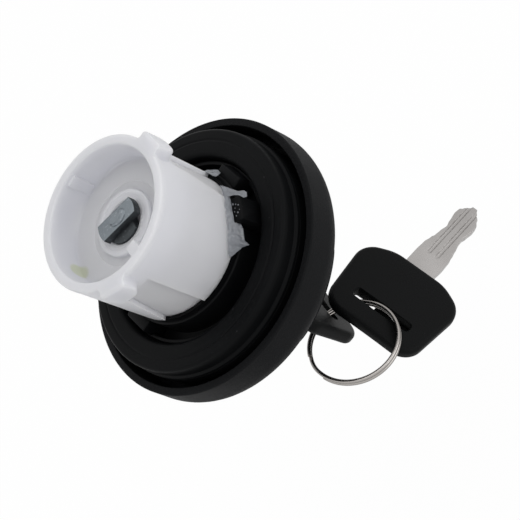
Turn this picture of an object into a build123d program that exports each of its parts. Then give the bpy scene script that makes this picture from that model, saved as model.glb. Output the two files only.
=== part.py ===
"""Locking fuel filler cap with its key in the lock and a second key on a split ring.

Millimetres. +Z points along the cap's axis into the filler neck. The origin is on that axis,
in the plane of the gasket face that seals on the neck. X and Y are square to the axis.
"""
from build123d import *
from math import cos, radians, sin, tan
import os

os.makedirs("parts", exist_ok=True)

# ---------------------------------------------------------------- driving dimensions
# Running and assembly clearances, radial or per side
RUN_FIT = 0.05
SLIP_FIT = 0.15
TURN_GAP = 0.3
END_PLAY = 0.05

# Gasket
GASKET_W = 8.4
GASKET_LIP_REACH = 0.5
GASKET_T = 6.5
GASKET_LIP_T = 1.0
GASKET_ROUND = 1.6
SEAL_LINE_OFF_MIDDLE = 0.8
SEAL_LINE_DEPTH = 0.25
SEAL_LINE_W = 0.6

# Grip cover
COVER_WALL = 2.3
COVER_SIDE_GAP = 2.3
COVER_RIM_BELOW_SEAL = 6.0
COVER_PLATE_BELOW_SEAL = 20.0
COVER_PLATE_T = 2.5
COVER_SHOULDER_R = 8.0
COVER_INSIDE_ROUND = 2.2
BAR_SIDE_MARGIN = 1.0
BAR_H = 13.5
BAR_END_INSET = 17.0
BAR_WALL = 2.6
BAR_EDGE_ROUND = 2.4
BAR_CORNER_ROUND = 4.0
BAR_AZIMUTH = 95.0
DRIVE_LUGS = 4
DRIVE_LUG_H = 3.5
DRIVE_LUG_W = 7.0

# Hub
FLANGE_T = 2.5
HUB_ABOVE_SEAL = 1.6
FLANGE_OVERHANG = 0.4
HUB_SKIRT_T = 2.0
HUB_BARREL_WALL = 2.3
SNOUT_WALL = 2.1
GROOVE_W = 4.5
COLLAR_WALL = 1.2
COLLAR_H = 4.0
RIB_COUNT = 8
RIB_T = 1.6
RIB_H = 6.0
VENT_HOLES = 6
VENT_HOLE_R = 1.1
BEAD_H = 0.7
BEAD_W = 1.6
FINGER_W = 7.0
FINGER_ABOVE_SEAL = 5.3
FINGER_SIDE_GAP = 0.7
FINGER_FOOT_INSET = 0.2
FINGER_TOP_T = 3.0
FINGER_AZIMUTHS = (-47.0, -12.0, 133.0, 168.0)

# Sleeve
SLEEVE_MOUTH_Z = 33.0
SLEEVE_FLARE = 0.6
SLEEVE_WALL = 2.9
CUP_RIM_WALL = 2.75
CUP_DRAFT = 0.59
CUP_DEPTH = 9.6
CUP_FLOOR_T = 1.6
BOSS_WALL = 3.23
BOSS_H = 1.1
BOSS_TAIL = 2.6
LIP_ROUND = 0.6
LUG_REACH = 2.6
LUG_L = 7.0
SHORT_LUG_L = 4.0
LUG_SPAN = 26.0
LUG_CORNER_ROUND = 1.5
LUG_COUNT = 3
SHORT_LUG = 1
LUG_AZIMUTH = -18.0
RECESS_DEPTH = 1.2
RECESS_FROM_LUG = 18.0
RECESS_TOP_SPAN = 27.0
RECESS_ROOT_SPAN = 40.0
RECESS_BELOW_LUG = 1.0
STOP_BLOCK_W = 3.5
STOP_BLOCK_TIP_R = 14.05
STOP_BLOCK_BELOW_MOUTH = 1.8
STOP_BLOCK_AZIMUTH = -108.5
CUP_RIB_W = 3.3
CUP_RIB_H = 0.9
CUP_RIB_AZIMUTH = 76.0

# Lock
LOCK_PROUD = 2.0
HOUSING_WALL = 4.0
HOUSING_TOP_Z = 10.0
HOUSING_FLANGE_REACH = 2.0
HOUSING_FLANGE_T = 0.9
BEZEL_SLOPE = 2.0
PLUG_WALL = 1.9
PLUG_END_WALL = 0.6
SHAFT_R = 3.0
TANG_W = 3.0
TANG_L = 8.0
TANG_H = 2.0
TAIL_BAR_L = 13.5
TAIL_BAR_W = 5.5
TAIL_BAR_T = 2.4
TAIL_BAR_ABOVE_BOSS = 0.4
TAIL_BAR_AZIMUTH = -31.0
TAIL_STEP_T = 2.3
TAIL_STEP_W = 9.1
TAIL_STEP_R = 5.9
TENON_W = 2.4
TENON_L = 3.6
PEEN_H = 0.6
PEEN_HALF_L = 2.4
PEEN_HALF_W = 1.7
PEEN_TAPER = 40.0
CLIP_T = 0.8
CLIP_RADIAL = 2.2
CLIP_GROOVE = 0.7
CLIP_GAP_SPAN = 60.0
WAFER_COUNT = 6
WAFER_T = 0.8
WAFER_W = 5.4
WAFER_END = 1.0
WAFER_PITCH = 3.6
WAFER_FIRST = 5.0
O_RING_WIRE = 1.56
O_RING_Z = -13.0

# Vent valve round the lock housing
VALVE_W = 4.2
VALVE_SEAL_T = 1.2
VALVE_PLATE_T = 1.5
VALVE_LIP_H = 1.2
VALVE_LIP_T = 0.8
VALVE_SIDE_GAP = 0.4
SPRING_WIRE = 1.0
SPRING_TURNS = 3.5
RETAINER_T = 1.2
RETAINER_LEDGE = 1.0

# Thrust washer under the sleeve
WASHER_T = 1.35
WASHER_BORE_GAP = 0.5

# Keys
HEAD_T = 4.2
HEAD_FAR_HALF = 16.3
HEAD_WIDE_HALF = 18.0
HEAD_FAR_TO_SLOT = 9.1
HEAD_SLOT_TO_SHOULDER = 15.5
HEAD_SLOT_TO_CROWN = 20.6
HEAD_CROWN_HALF = 5.0
HEAD_FAR_ROUND = 7.0
HEAD_SHOULDER_ROUND = 5.0
HEAD_CROWN_ROUND = 14.0
HEAD_EDGE_ROUND = 0.9
SLOT_L = 19.6
SLOT_W = 4.2
SLOT_CORNER_ROUND = 1.2
SLOT_CHAMFER = 0.8
BLADE_T = 2.2
BLADE_W = 10.2
BLADE_L = 30.9
BLADE_TANG = 6.0
BLADE_TIP = 2.6
BLADE_TIP_HALF = 1.6
BLADE_GROOVE_W = 1.0
BLADE_GROOVE_DEPTH = 0.5
BLADE_GROOVE_L = 24.0
BLADE_GROOVES = (-1.6, 1.3)
BLADE_PEAK = 0.5
BLADE_CUTS_LEFT = (0.4, 0.3, 0.6, 1.2, 1.4, 0.8)
BLADE_CUTS_RIGHT = (0.5, 1.2, 2.0, 3.0, 2.6, 2.2)
KEYWAY_GAP = 0.25
KEY_AZIMUTH = 68.0

# Split ring: its size, and where it hangs from the centre of the lock key's slot
RING_R = 13.4
RING_WIRE = 1.2
RING_TURN_GAP = 0.02
RING_JOIN_SPAN = 36.0
RING_FROM_SLOT = (-5.728, -19.173, -1.181)
RING_AXIS = (0.372, -0.193, 0.908)
RING_JOIN_SIDE = (-0.835, 0.357, 0.418)

# Second key: its slot's centre from the lock key's, and the directions of its face and across it
SPARE_FROM_SLOT = (4.943, -18.986, -6.993)
SPARE_FACE = (0.599, -0.524, 0.606)
SPARE_ACROSS = (-0.211, -0.833, -0.512)

# ---------------------------------------------------------------- derived places
# Radii, from the key blade outward
PLUG_R = BLADE_W / 2 + PLUG_WALL
HOUSING_BORE_R = PLUG_R + RUN_FIT
HOUSING_R = PLUG_R + HOUSING_WALL
HOUSING_FLANGE_R = HOUSING_R + HOUSING_FLANGE_REACH
BEZEL_R = HOUSING_FLANGE_R + BEZEL_SLOPE
HUB_BORE_R = HOUSING_R + SLIP_FIT
VALVE_BORE_R = HOUSING_R + VALVE_SIDE_GAP
VALVE_R = VALVE_BORE_R + VALVE_W
SPRING_R = (VALVE_R + VALVE_BORE_R) / 2
SNOUT_BORE_R = VALVE_R + VALVE_SIDE_GAP
SNOUT_R = SNOUT_BORE_R + SNOUT_WALL
SKIRT_BORE_R = SNOUT_R + TURN_GAP
SLEEVE_ROOT_R = SKIRT_BORE_R + SLEEVE_WALL
SLEEVE_MOUTH_R = SLEEVE_ROOT_R + SLEEVE_FLARE
CUP_MOUTH_R = SLEEVE_MOUTH_R - CUP_RIM_WALL
CUP_FLOOR_R = CUP_MOUTH_R - CUP_DRAFT
CUP_WALL_MID_R = (CUP_FLOOR_R + SLEEVE_ROOT_R) / 2
LUG_R = SLEEVE_MOUTH_R + LUG_REACH
BOSS_BORE_R = TAIL_STEP_R + TURN_GAP
BOSS_R = BOSS_BORE_R + BOSS_WALL
LEDGE_BORE_R = SHAFT_R + TURN_GAP
WASHER_BORE_R = SNOUT_R + WASHER_BORE_GAP
WASHER_R = SLEEVE_ROOT_R - TURN_GAP
HUB_R = SLEEVE_ROOT_R + FINGER_SIDE_GAP
GASKET_BORE_R = HUB_R + GROOVE_W
GASKET_R = GASKET_BORE_R + GASKET_W
GASKET_LIP_R = GASKET_R + GASKET_LIP_REACH
SEAL_LINE_R = (GASKET_BORE_R + GASKET_R) / 2 + SEAL_LINE_OFF_MIDDLE
COLLAR_R = GASKET_BORE_R - TURN_GAP
FINGER_FOOT_R = COLLAR_R - FINGER_FOOT_INSET
SKIRT_R = GASKET_LIP_R - FLANGE_OVERHANG
COVER_BORE_R = GASKET_LIP_R + COVER_SIDE_GAP
COVER_R = COVER_BORE_R + COVER_WALL
BAR_W = 2 * (BEZEL_R + BAR_SIDE_MARGIN)
BAR_TOP_R = COVER_R - BAR_END_INSET

# Heights on the cover's side of the sealing plane
GASKET_FOOT_Z = -GASKET_T
FLANGE_FOOT_Z = GASKET_FOOT_Z - FLANGE_T
COVER_RIM_Z = -COVER_RIM_BELOW_SEAL
COVER_PLATE_Z = -COVER_PLATE_BELOW_SEAL
COVER_FLOOR_Z = COVER_PLATE_Z + COVER_PLATE_T
BAR_TOP_Z = COVER_PLATE_Z - BAR_H
LOCK_FACE_Z = BAR_TOP_Z - LOCK_PROUD
VALVE_SEAL_TOP_Z = GASKET_FOOT_Z + VALVE_SEAL_T
VALVE_PLATE_TOP_Z = VALVE_SEAL_TOP_Z + VALVE_PLATE_T

# Heights on the neck's side
SLEEVE_ROOT_Z = HUB_ABOVE_SEAL + WASHER_T + END_PLAY
CUP_FLOOR_Z = SLEEVE_MOUTH_Z - CUP_DEPTH
CUP_UNDER_Z = CUP_FLOOR_Z - CUP_FLOOR_T
LUG_FOOT_Z = SLEEVE_MOUTH_Z - LUG_L
RECESS_TOP_Z = LUG_FOOT_Z - RECESS_BELOW_LUG
SNOUT_TOP_Z = CUP_UNDER_Z - BOSS_TAIL
BEAD_Z = SNOUT_TOP_Z - BEAD_W
HOUSING_CLIP_Z = HOUSING_TOP_Z - 2 * CLIP_T
RETAINER_Z = HOUSING_CLIP_Z - RETAINER_T
SHAFT_CLIP_Z = HOUSING_TOP_Z + END_PLAY

# Lock plug, tail bar and keys
PLUG_L = BLADE_L + TANG_H + PLUG_END_WALL
PLUG_TOP_Z = LOCK_FACE_Z + PLUG_L
WAFER_L = BLADE_W + 2 * WAFER_END
O_RING_SEAT_DEPTH = O_RING_WIRE + RUN_FIT / 2 - SLIP_FIT
TAIL_BAR_FOOT_Z = CUP_FLOOR_Z + BOSS_H + TAIL_BAR_ABOVE_BOSS
TAIL_BAR_TOP_Z = TAIL_BAR_FOOT_Z + TAIL_BAR_T
LEDGE_Z = TAIL_BAR_FOOT_Z - TAIL_STEP_T - TURN_GAP
KEY_SLOT = Vector(0, 0, LOCK_FACE_Z - END_PLAY - HEAD_SLOT_TO_CROWN)
SPARE_SLOT = KEY_SLOT + Vector(SPARE_FROM_SLOT)
RING_CENTRE = KEY_SLOT + Vector(RING_FROM_SLOT)


def radial_plane(azimuth, z=0.0):
    """The plane through the axis at this azimuth: its x runs outward and its y up the axis."""
    a = radians(azimuth)
    return Plane(origin=(0, 0, z), x_dir=(cos(a), sin(a), 0), z_dir=(sin(a), -cos(a), 0))


def facing_plane(azimuth, radius=0.0):
    """A plane that faces outward at this azimuth: its x runs along the rim, its y up the axis."""
    a = radians(azimuth)
    return Plane(origin=(radius * cos(a), radius * sin(a), 0), x_dir=(-sin(a), cos(a), 0),
                 z_dir=(cos(a), sin(a), 0))


def turned_plane(azimuth, z):
    """A level plane at height z, with its x towards this azimuth."""
    a = radians(azimuth)
    return Plane(origin=(0, 0, z), x_dir=(cos(a), sin(a), 0), z_dir=(0, 0, 1))


# ---------------------------------------------------------------- grip cover
def bar_form(plate_z, top_z, foot_r, top_r, width):
    """The raised grip bar: a slab across the cover, its ends cut to a cone about the axis."""
    with BuildPart() as form:
        with BuildSketch(Plane.XZ):
            with BuildLine():
                Polyline((0, COVER_FLOOR_Z), (foot_r, COVER_FLOOR_Z), (foot_r, plate_z),
                         (top_r, top_z), (0, top_z), close=True)
            make_face()
        revolve(axis=Axis.Z)
        with BuildSketch(turned_plane(BAR_AZIMUTH, COVER_FLOOR_Z)):
            Rectangle(4 * COVER_R, width)
        extrude(amount=top_z - COVER_FLOOR_Z, mode=Mode.INTERSECT)
    return form.part


bar_foot_r = BAR_TOP_R + BAR_H
with BuildPart() as bar_outside:
    add(bar_form(COVER_PLATE_Z, BAR_TOP_Z, bar_foot_r, BAR_TOP_R, BAR_W))
    corner_edges = bar_outside.edges().filter_by(lambda edge: abs((edge @ 0).Z - (edge @ 1).Z) > BAR_H / 2)
    fillet(corner_edges, radius=BAR_CORNER_ROUND)
    fillet(bar_outside.faces().sort_by(Axis.Z)[0].edges(), radius=BAR_EDGE_ROUND)

bar_inside = bar_form(COVER_PLATE_Z, BAR_TOP_Z + BAR_WALL, bar_foot_r - 2 * BAR_WALL,
                      BAR_TOP_R - BAR_WALL, BAR_W - 2 * BAR_WALL)

with BuildPart() as grip_cover:
    with BuildSketch(Plane.XZ) as cup:
        with BuildLine():
            Polyline(
                (0, COVER_PLATE_Z),
                (COVER_R, COVER_PLATE_Z),
                (COVER_R, COVER_RIM_Z),
                (COVER_BORE_R, COVER_RIM_Z),
                (COVER_BORE_R, COVER_FLOOR_Z),
                (0, COVER_FLOOR_Z),
                close=True,
            )
        make_face()
        outer_corner = cup.vertices().sort_by_distance((COVER_R, COVER_PLATE_Z))[0]
        fillet(outer_corner, radius=COVER_SHOULDER_R)
        inner_corner = cup.vertices().sort_by_distance((COVER_BORE_R, COVER_FLOOR_Z))[0]
        fillet(inner_corner, radius=COVER_INSIDE_ROUND)
    revolve(axis=Axis.Z)
    add(bar_outside.part)
    add(bar_inside, mode=Mode.SUBTRACT)
    # tube that carries the lock housing from the bar's top to the cover's floor
    with BuildSketch(Plane.XY.offset(BAR_TOP_Z + BAR_WALL)):
        Circle(HUB_BORE_R + BAR_WALL)
    extrude(amount=COVER_FLOOR_Z - BAR_TOP_Z - BAR_WALL)
    with BuildSketch(Plane.XY.offset(BAR_TOP_Z)):
        Circle(HUB_BORE_R)
    extrude(amount=COVER_FLOOR_Z - BAR_TOP_Z, mode=Mode.SUBTRACT)
    # lugs that turn the hub, standing in the notches of its skirt
    with BuildSketch(Plane.XY.offset(COVER_FLOOR_Z)):
        with PolarLocations(SKIRT_R - HUB_SKIRT_T / 2, DRIVE_LUGS):
            Rectangle(HUB_SKIRT_T, DRIVE_LUG_W - 2 * SLIP_FIT)
    extrude(amount=DRIVE_LUG_H)
    grip_cover.part.label = "grip_cover"
export_step(grip_cover.part, "parts/grip_cover.step")

# ---------------------------------------------------------------- hub
with BuildPart() as hub_body:
    # flange, turning tube and the groove between the tube and the gasket
    with BuildSketch(Plane.XZ):
        with BuildLine():
            Polyline(
                (HUB_BORE_R, COVER_FLOOR_Z),
                (HUB_BORE_R + HUB_BARREL_WALL, COVER_FLOOR_Z),
                (HUB_BORE_R + HUB_BARREL_WALL, FLANGE_FOOT_Z),
                (SKIRT_R - HUB_SKIRT_T, FLANGE_FOOT_Z),
                (SKIRT_R - HUB_SKIRT_T, COVER_FLOOR_Z),
                (SKIRT_R, COVER_FLOOR_Z),
                (SKIRT_R, FLANGE_FOOT_Z),
                (GASKET_LIP_R, FLANGE_FOOT_Z),
                (GASKET_LIP_R, GASKET_FOOT_Z),
                (COLLAR_R, GASKET_FOOT_Z),
                (COLLAR_R, GASKET_FOOT_Z + COLLAR_H),
                (COLLAR_R - COLLAR_WALL, GASKET_FOOT_Z + COLLAR_H),
                (COLLAR_R - COLLAR_WALL, GASKET_FOOT_Z),
                (HUB_R, GASKET_FOOT_Z),
                (HUB_R, HUB_ABOVE_SEAL),
                (SNOUT_R, HUB_ABOVE_SEAL),
                (SNOUT_R, BEAD_Z),
                (SNOUT_R + BEAD_H, BEAD_Z + BEAD_H),
                (SNOUT_R, SNOUT_TOP_Z),
                (SNOUT_BORE_R + RETAINER_LEDGE, SNOUT_TOP_Z),
                (SNOUT_BORE_R + RETAINER_LEDGE, RETAINER_Z),
                (SNOUT_BORE_R, RETAINER_Z),
                (SNOUT_BORE_R, GASKET_FOOT_Z),
                (HUB_BORE_R, GASKET_FOOT_Z),
                close=True,
            )
        make_face()
    revolve(axis=Axis.Z)
    # stiffening ribs under the flange
    with BuildSketch(Plane.XY.offset(FLANGE_FOOT_Z)):
        with PolarLocations((HUB_BORE_R + HUB_BARREL_WALL + SKIRT_R - HUB_SKIRT_T) / 2, RIB_COUNT,
                            start_angle=180 / RIB_COUNT):
            Rectangle(SKIRT_R - HUB_SKIRT_T - HUB_BORE_R - HUB_BARREL_WALL + HUB_SKIRT_T, RIB_T)
    extrude(amount=-RIB_H)
    # notches for the cover's drive lugs
    with BuildSketch(Plane.XY.offset(COVER_FLOOR_Z)):
        with PolarLocations(SKIRT_R, DRIVE_LUGS):
            Rectangle(4 * HUB_SKIRT_T, DRIVE_LUG_W)
    extrude(amount=DRIVE_LUG_H + SLIP_FIT, mode=Mode.SUBTRACT)
    # vent holes under the valve seal
    with BuildSketch(Plane.XY.offset(FLANGE_FOOT_Z)):
        with PolarLocations(SPRING_R, VENT_HOLES):
            Circle(VENT_HOLE_R)
    extrude(amount=FLANGE_T, mode=Mode.SUBTRACT)
    # upright fingers in the groove
    for azimuth in FINGER_AZIMUTHS:
        with BuildSketch(radial_plane(azimuth).offset(-FINGER_W / 2)):
            with BuildLine():
                Polyline(
                    (HUB_R - END_PLAY, GASKET_FOOT_Z),
                    (FINGER_FOOT_R, GASKET_FOOT_Z),
                    (HUB_R + FINGER_TOP_T, FINGER_ABOVE_SEAL),
                    (HUB_R, FINGER_ABOVE_SEAL),
                    (HUB_R, 0),
                    (HUB_R - END_PLAY, 0),
                    close=True,
                )
            make_face()
        extrude(amount=FINGER_W)
    hub_body.part.label = "hub_body"
export_step(hub_body.part, "parts/hub_body.step")

# ---------------------------------------------------------------- gasket and washer
with BuildPart() as seal_gasket:
    with BuildSketch(Plane.XZ) as gasket_face:
        with BuildLine():
            Polyline(
                (GASKET_BORE_R, GASKET_FOOT_Z),
                (GASKET_LIP_R, GASKET_FOOT_Z),
                (GASKET_LIP_R, GASKET_FOOT_Z + GASKET_LIP_T),
                (GASKET_R, GASKET_FOOT_Z + 2 * GASKET_LIP_T),
                (GASKET_R, 0),
                (GASKET_BORE_R, 0),
                close=True,
            )
        make_face()
        fillet(gasket_face.vertices().group_by(Axis.Y)[-1], radius=GASKET_ROUND)
    revolve(axis=Axis.Z)
    with BuildSketch(Plane.XY):
        Circle(SEAL_LINE_R + SEAL_LINE_W / 2)
        Circle(SEAL_LINE_R - SEAL_LINE_W / 2, mode=Mode.SUBTRACT)
    extrude(amount=-SEAL_LINE_DEPTH, mode=Mode.SUBTRACT)
    seal_gasket.part.label = "seal_gasket"
export_step(seal_gasket.part, "parts/seal_gasket.step")

with BuildPart() as thrust_washer:
    with BuildSketch(Plane.XY.offset(HUB_ABOVE_SEAL)):
        Circle(WASHER_R)
        Circle(WASHER_BORE_R, mode=Mode.SUBTRACT)
    extrude(amount=SLEEVE_ROOT_Z - HUB_ABOVE_SEAL - END_PLAY)
    thrust_washer.part.label = "thrust_washer"
export_step(thrust_washer.part, "parts/thrust_washer.step")

# ---------------------------------------------------------------- bayonet sleeve
with BuildPart() as recess_tool:
    with BuildSketch(Plane.XY.offset(SLEEVE_ROOT_Z - TURN_GAP)):
        Circle(SLEEVE_MOUTH_R + RECESS_DEPTH)
        Circle(SLEEVE_ROOT_R - RECESS_DEPTH, mode=Mode.SUBTRACT)
    extrude(amount=RECESS_TOP_Z - SLEEVE_ROOT_Z + TURN_GAP)
    with BuildSketch(facing_plane(0.0)):
        with BuildLine():
            Polyline(
                (0, SLEEVE_ROOT_Z - TURN_GAP),
                (0, RECESS_TOP_Z),
                (-SLEEVE_ROOT_R * sin(radians(RECESS_TOP_SPAN)), RECESS_TOP_Z),
                (-SLEEVE_ROOT_R * sin(radians(RECESS_ROOT_SPAN)), SLEEVE_ROOT_Z - TURN_GAP),
                close=True,
            )
        make_face()
    extrude(amount=SLEEVE_MOUTH_R + RECESS_DEPTH, mode=Mode.INTERSECT)


def make_lug(length):
    """One bayonet lug, drawn on the X axis: all lugs share the height of the face that bears."""
    with BuildPart() as lug:
        with BuildSketch(Plane.XY.offset(LUG_FOOT_Z)):
            Circle(LUG_R)
            Circle((CUP_MOUTH_R + SLEEVE_MOUTH_R) / 2, mode=Mode.SUBTRACT)
            with BuildLine():
                Polyline(
                    (0, 0),
                    (2 * LUG_R, 2 * LUG_R * tan(radians(LUG_SPAN / 2))),
                    (2 * LUG_R, -2 * LUG_R * tan(radians(LUG_SPAN / 2))),
                    close=True,
                )
            make_face(mode=Mode.INTERSECT)
        extrude(amount=length)
        outer_corners = lug.edges().filter_by(Axis.Z).sort_by(Axis.X)[-2:]
        fillet(outer_corners, radius=LUG_CORNER_ROUND)
        ends = lug.faces().filter_by(Plane.XY).edges().filter_by(GeomType.CIRCLE).sort_by(Axis.X)[-2:]
        fillet(ends, radius=LIP_ROUND)
    return lug.part


with BuildPart() as sleeve:
    with BuildSketch(Plane.XZ) as sleeve_face:
        with BuildLine():
            Polyline(
                (SKIRT_BORE_R, SLEEVE_ROOT_Z),
                (SLEEVE_ROOT_R, SLEEVE_ROOT_Z),
                (SLEEVE_MOUTH_R, SLEEVE_MOUTH_Z),
                (CUP_MOUTH_R, SLEEVE_MOUTH_Z),
                (CUP_FLOOR_R, CUP_FLOOR_Z),
                (BOSS_R, CUP_FLOOR_Z),
                (BOSS_R, CUP_FLOOR_Z + BOSS_H),
                (BOSS_BORE_R, CUP_FLOOR_Z + BOSS_H),
                (BOSS_BORE_R, LEDGE_Z),
                (LEDGE_BORE_R, LEDGE_Z),
                (LEDGE_BORE_R, CUP_UNDER_Z - BOSS_TAIL),
                (BOSS_R, CUP_UNDER_Z - BOSS_TAIL),
                (BOSS_R, CUP_UNDER_Z),
                (SKIRT_BORE_R, CUP_UNDER_Z),
                (SKIRT_BORE_R, SNOUT_TOP_Z + TURN_GAP),
                (SKIRT_BORE_R + BEAD_H, BEAD_Z + BEAD_H),
                (SKIRT_BORE_R, BEAD_Z - TURN_GAP),
                close=True,
            )
        make_face()
        fillet(sleeve_face.vertices().group_by(Axis.Y)[-1], radius=LIP_ROUND)
    revolve(axis=Axis.Z)
    for turn in range(LUG_COUNT):
        azimuth = LUG_AZIMUTH + turn * 360 / LUG_COUNT
        add(make_lug(SHORT_LUG_L if turn == SHORT_LUG else LUG_L), rotation=(0, 0, azimuth))
        add(recess_tool.part, rotation=(0, 0, azimuth + RECESS_FROM_LUG), mode=Mode.SUBTRACT)
    # stop block and rib inside the cup
    with BuildSketch(turned_plane(STOP_BLOCK_AZIMUTH, CUP_FLOOR_Z)):
        with Locations(((STOP_BLOCK_TIP_R + CUP_WALL_MID_R) / 2, 0)):
            Rectangle(CUP_WALL_MID_R - STOP_BLOCK_TIP_R, STOP_BLOCK_W)
    extrude(amount=CUP_DEPTH - STOP_BLOCK_BELOW_MOUTH)
    with BuildSketch(turned_plane(CUP_RIB_AZIMUTH, CUP_FLOOR_Z)):
        with Locations(((CUP_FLOOR_R - CUP_RIB_H + CUP_WALL_MID_R) / 2, 0)):
            Rectangle(CUP_WALL_MID_R - CUP_FLOOR_R + CUP_RIB_H, CUP_RIB_W)
    extrude(amount=CUP_DEPTH - 2 * LIP_ROUND)
    sleeve.part.label = "sleeve"
export_step(sleeve.part, "parts/sleeve.step")

# ---------------------------------------------------------------- lock housing
with BuildPart() as lock_housing:
    with BuildSketch(Plane.XZ):
        with BuildLine():
            Polyline(
                (HOUSING_BORE_R, LOCK_FACE_Z),
                (HOUSING_FLANGE_R, LOCK_FACE_Z),
                (HOUSING_FLANGE_R, LOCK_FACE_Z + HOUSING_FLANGE_T),
                (HOUSING_R, LOCK_FACE_Z + HOUSING_FLANGE_T),
                (HOUSING_R, HOUSING_TOP_Z),
                (SHAFT_R + RUN_FIT, HOUSING_TOP_Z),
                (SHAFT_R + RUN_FIT, PLUG_TOP_Z + END_PLAY),
                (HOUSING_BORE_R, PLUG_TOP_Z + END_PLAY),
                close=True,
            )
        make_face()
    revolve(axis=Axis.Z)
    with BuildSketch(Plane.XZ):
        with Locations((HOUSING_R - CLIP_GROOVE / 2, HOUSING_CLIP_Z + CLIP_T / 2)):
            Rectangle(CLIP_GROOVE, CLIP_T + 2 * END_PLAY)
        with Locations((HOUSING_R - O_RING_SEAT_DEPTH / 2, O_RING_Z)):
            Rectangle(O_RING_SEAT_DEPTH, O_RING_WIRE + 2 * SLIP_FIT)
    revolve(axis=Axis.Z, mode=Mode.SUBTRACT)
    lock_housing.part.label = "lock_housing"
export_step(lock_housing.part, "parts/lock_housing.step")

with BuildPart() as lock_bezel:
    with BuildSketch(Plane.XZ):
        with BuildLine():
            Polyline(
                (HOUSING_R + SLIP_FIT, BAR_TOP_Z),
                (BEZEL_R, BAR_TOP_Z),
                (HOUSING_FLANGE_R, LOCK_FACE_Z + HOUSING_FLANGE_T),
                (HOUSING_R + SLIP_FIT, LOCK_FACE_Z + HOUSING_FLANGE_T),
                close=True,
            )
        make_face()
    revolve(axis=Axis.Z)
    lock_bezel.part.label = "lock_bezel"
export_step(lock_bezel.part, "parts/lock_bezel.step")


def snap_ring(r_in, radial, z_low, azimuth):
    """An open retaining ring, its gap at this azimuth."""
    with BuildPart() as ring:
        with BuildSketch(turned_plane(azimuth, z_low)):
            Circle(r_in + radial)
            Circle(r_in, mode=Mode.SUBTRACT)
            with BuildLine():
                gap_half = 2 * (r_in + radial) * tan(radians(CLIP_GAP_SPAN / 2))
                Polyline((0, 0), (2 * (r_in + radial), gap_half), (2 * (r_in + radial), -gap_half),
                         close=True)
            make_face(mode=Mode.SUBTRACT)
        extrude(amount=CLIP_T)
    return ring.part


with BuildPart() as housing_clip:
    add(snap_ring(HOUSING_R - CLIP_GROOVE + SLIP_FIT, CLIP_RADIAL, HOUSING_CLIP_Z, 0.0))
    housing_clip.part.label = "housing_clip"
export_step(housing_clip.part, "parts/housing_clip.step")

with BuildPart() as housing_o_ring:
    with BuildSketch(Plane.XZ):
        with Locations((HOUSING_R - O_RING_SEAT_DEPTH + O_RING_WIRE / 2, O_RING_Z)):
            Circle(O_RING_WIRE / 2)
    revolve(axis=Axis.Z)
    housing_o_ring.part.label = "housing_o_ring"
export_step(housing_o_ring.part, "parts/housing_o_ring.step")

# ---------------------------------------------------------------- vent valve
with BuildPart() as valve_seal:
    with BuildSketch(Plane.XY.offset(GASKET_FOOT_Z)):
        Circle(VALVE_R)
        Circle(VALVE_BORE_R, mode=Mode.SUBTRACT)
    extrude(amount=VALVE_SEAL_T)
    valve_seal.part.label = "valve_seal"
export_step(valve_seal.part, "parts/valve_seal.step")

with BuildPart() as valve_plate:
    with BuildSketch(Plane.XZ):
        with BuildLine():
            Polyline(
                (VALVE_BORE_R, VALVE_SEAL_TOP_Z),
                (VALVE_R, VALVE_SEAL_TOP_Z),
                (VALVE_R, VALVE_PLATE_TOP_Z),
                (VALVE_BORE_R + VALVE_LIP_T, VALVE_PLATE_TOP_Z),
                (VALVE_BORE_R + VALVE_LIP_T, VALVE_PLATE_TOP_Z + VALVE_LIP_H),
                (VALVE_BORE_R, VALVE_PLATE_TOP_Z + VALVE_LIP_H),
                close=True,
            )
        make_face()
    revolve(axis=Axis.Z)
    valve_plate.part.label = "valve_plate"
export_step(valve_plate.part, "parts/valve_plate.step")

spring_foot_z = VALVE_PLATE_TOP_Z + SPRING_WIRE / 2
spring_rise = RETAINER_Z - VALVE_PLATE_TOP_Z - SPRING_WIRE
with BuildPart() as valve_spring:
    with BuildLine() as spring_path:
        Helix(pitch=spring_rise / SPRING_TURNS, height=spring_rise, radius=SPRING_R,
              center=(0, 0, spring_foot_z))
    with BuildSketch(Plane(origin=spring_path.line @ 0, z_dir=spring_path.line % 0)):
        Circle(SPRING_WIRE / 2 - END_PLAY)
    sweep(is_frenet=True)
    valve_spring.part.label = "valve_spring"
export_step(valve_spring.part, "parts/valve_spring.step")

with BuildPart() as spring_retainer:
    with BuildSketch(Plane.XY.offset(RETAINER_Z)):
        Circle(SNOUT_BORE_R + RETAINER_LEDGE - SLIP_FIT)
        Circle(HOUSING_R + SLIP_FIT, mode=Mode.SUBTRACT)
        with PolarLocations(SPRING_R, VENT_HOLES):
            Circle(VENT_HOLE_R, mode=Mode.SUBTRACT)
    extrude(amount=RETAINER_T - END_PLAY)
    spring_retainer.part.label = "spring_retainer"
export_step(spring_retainer.part, "parts/spring_retainer.step")

# ---------------------------------------------------------------- lock plug, wafers, shaft, tail bar
wafer_heights = [LOCK_FACE_Z + WAFER_FIRST + step * WAFER_PITCH for step in range(WAFER_COUNT)]

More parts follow.
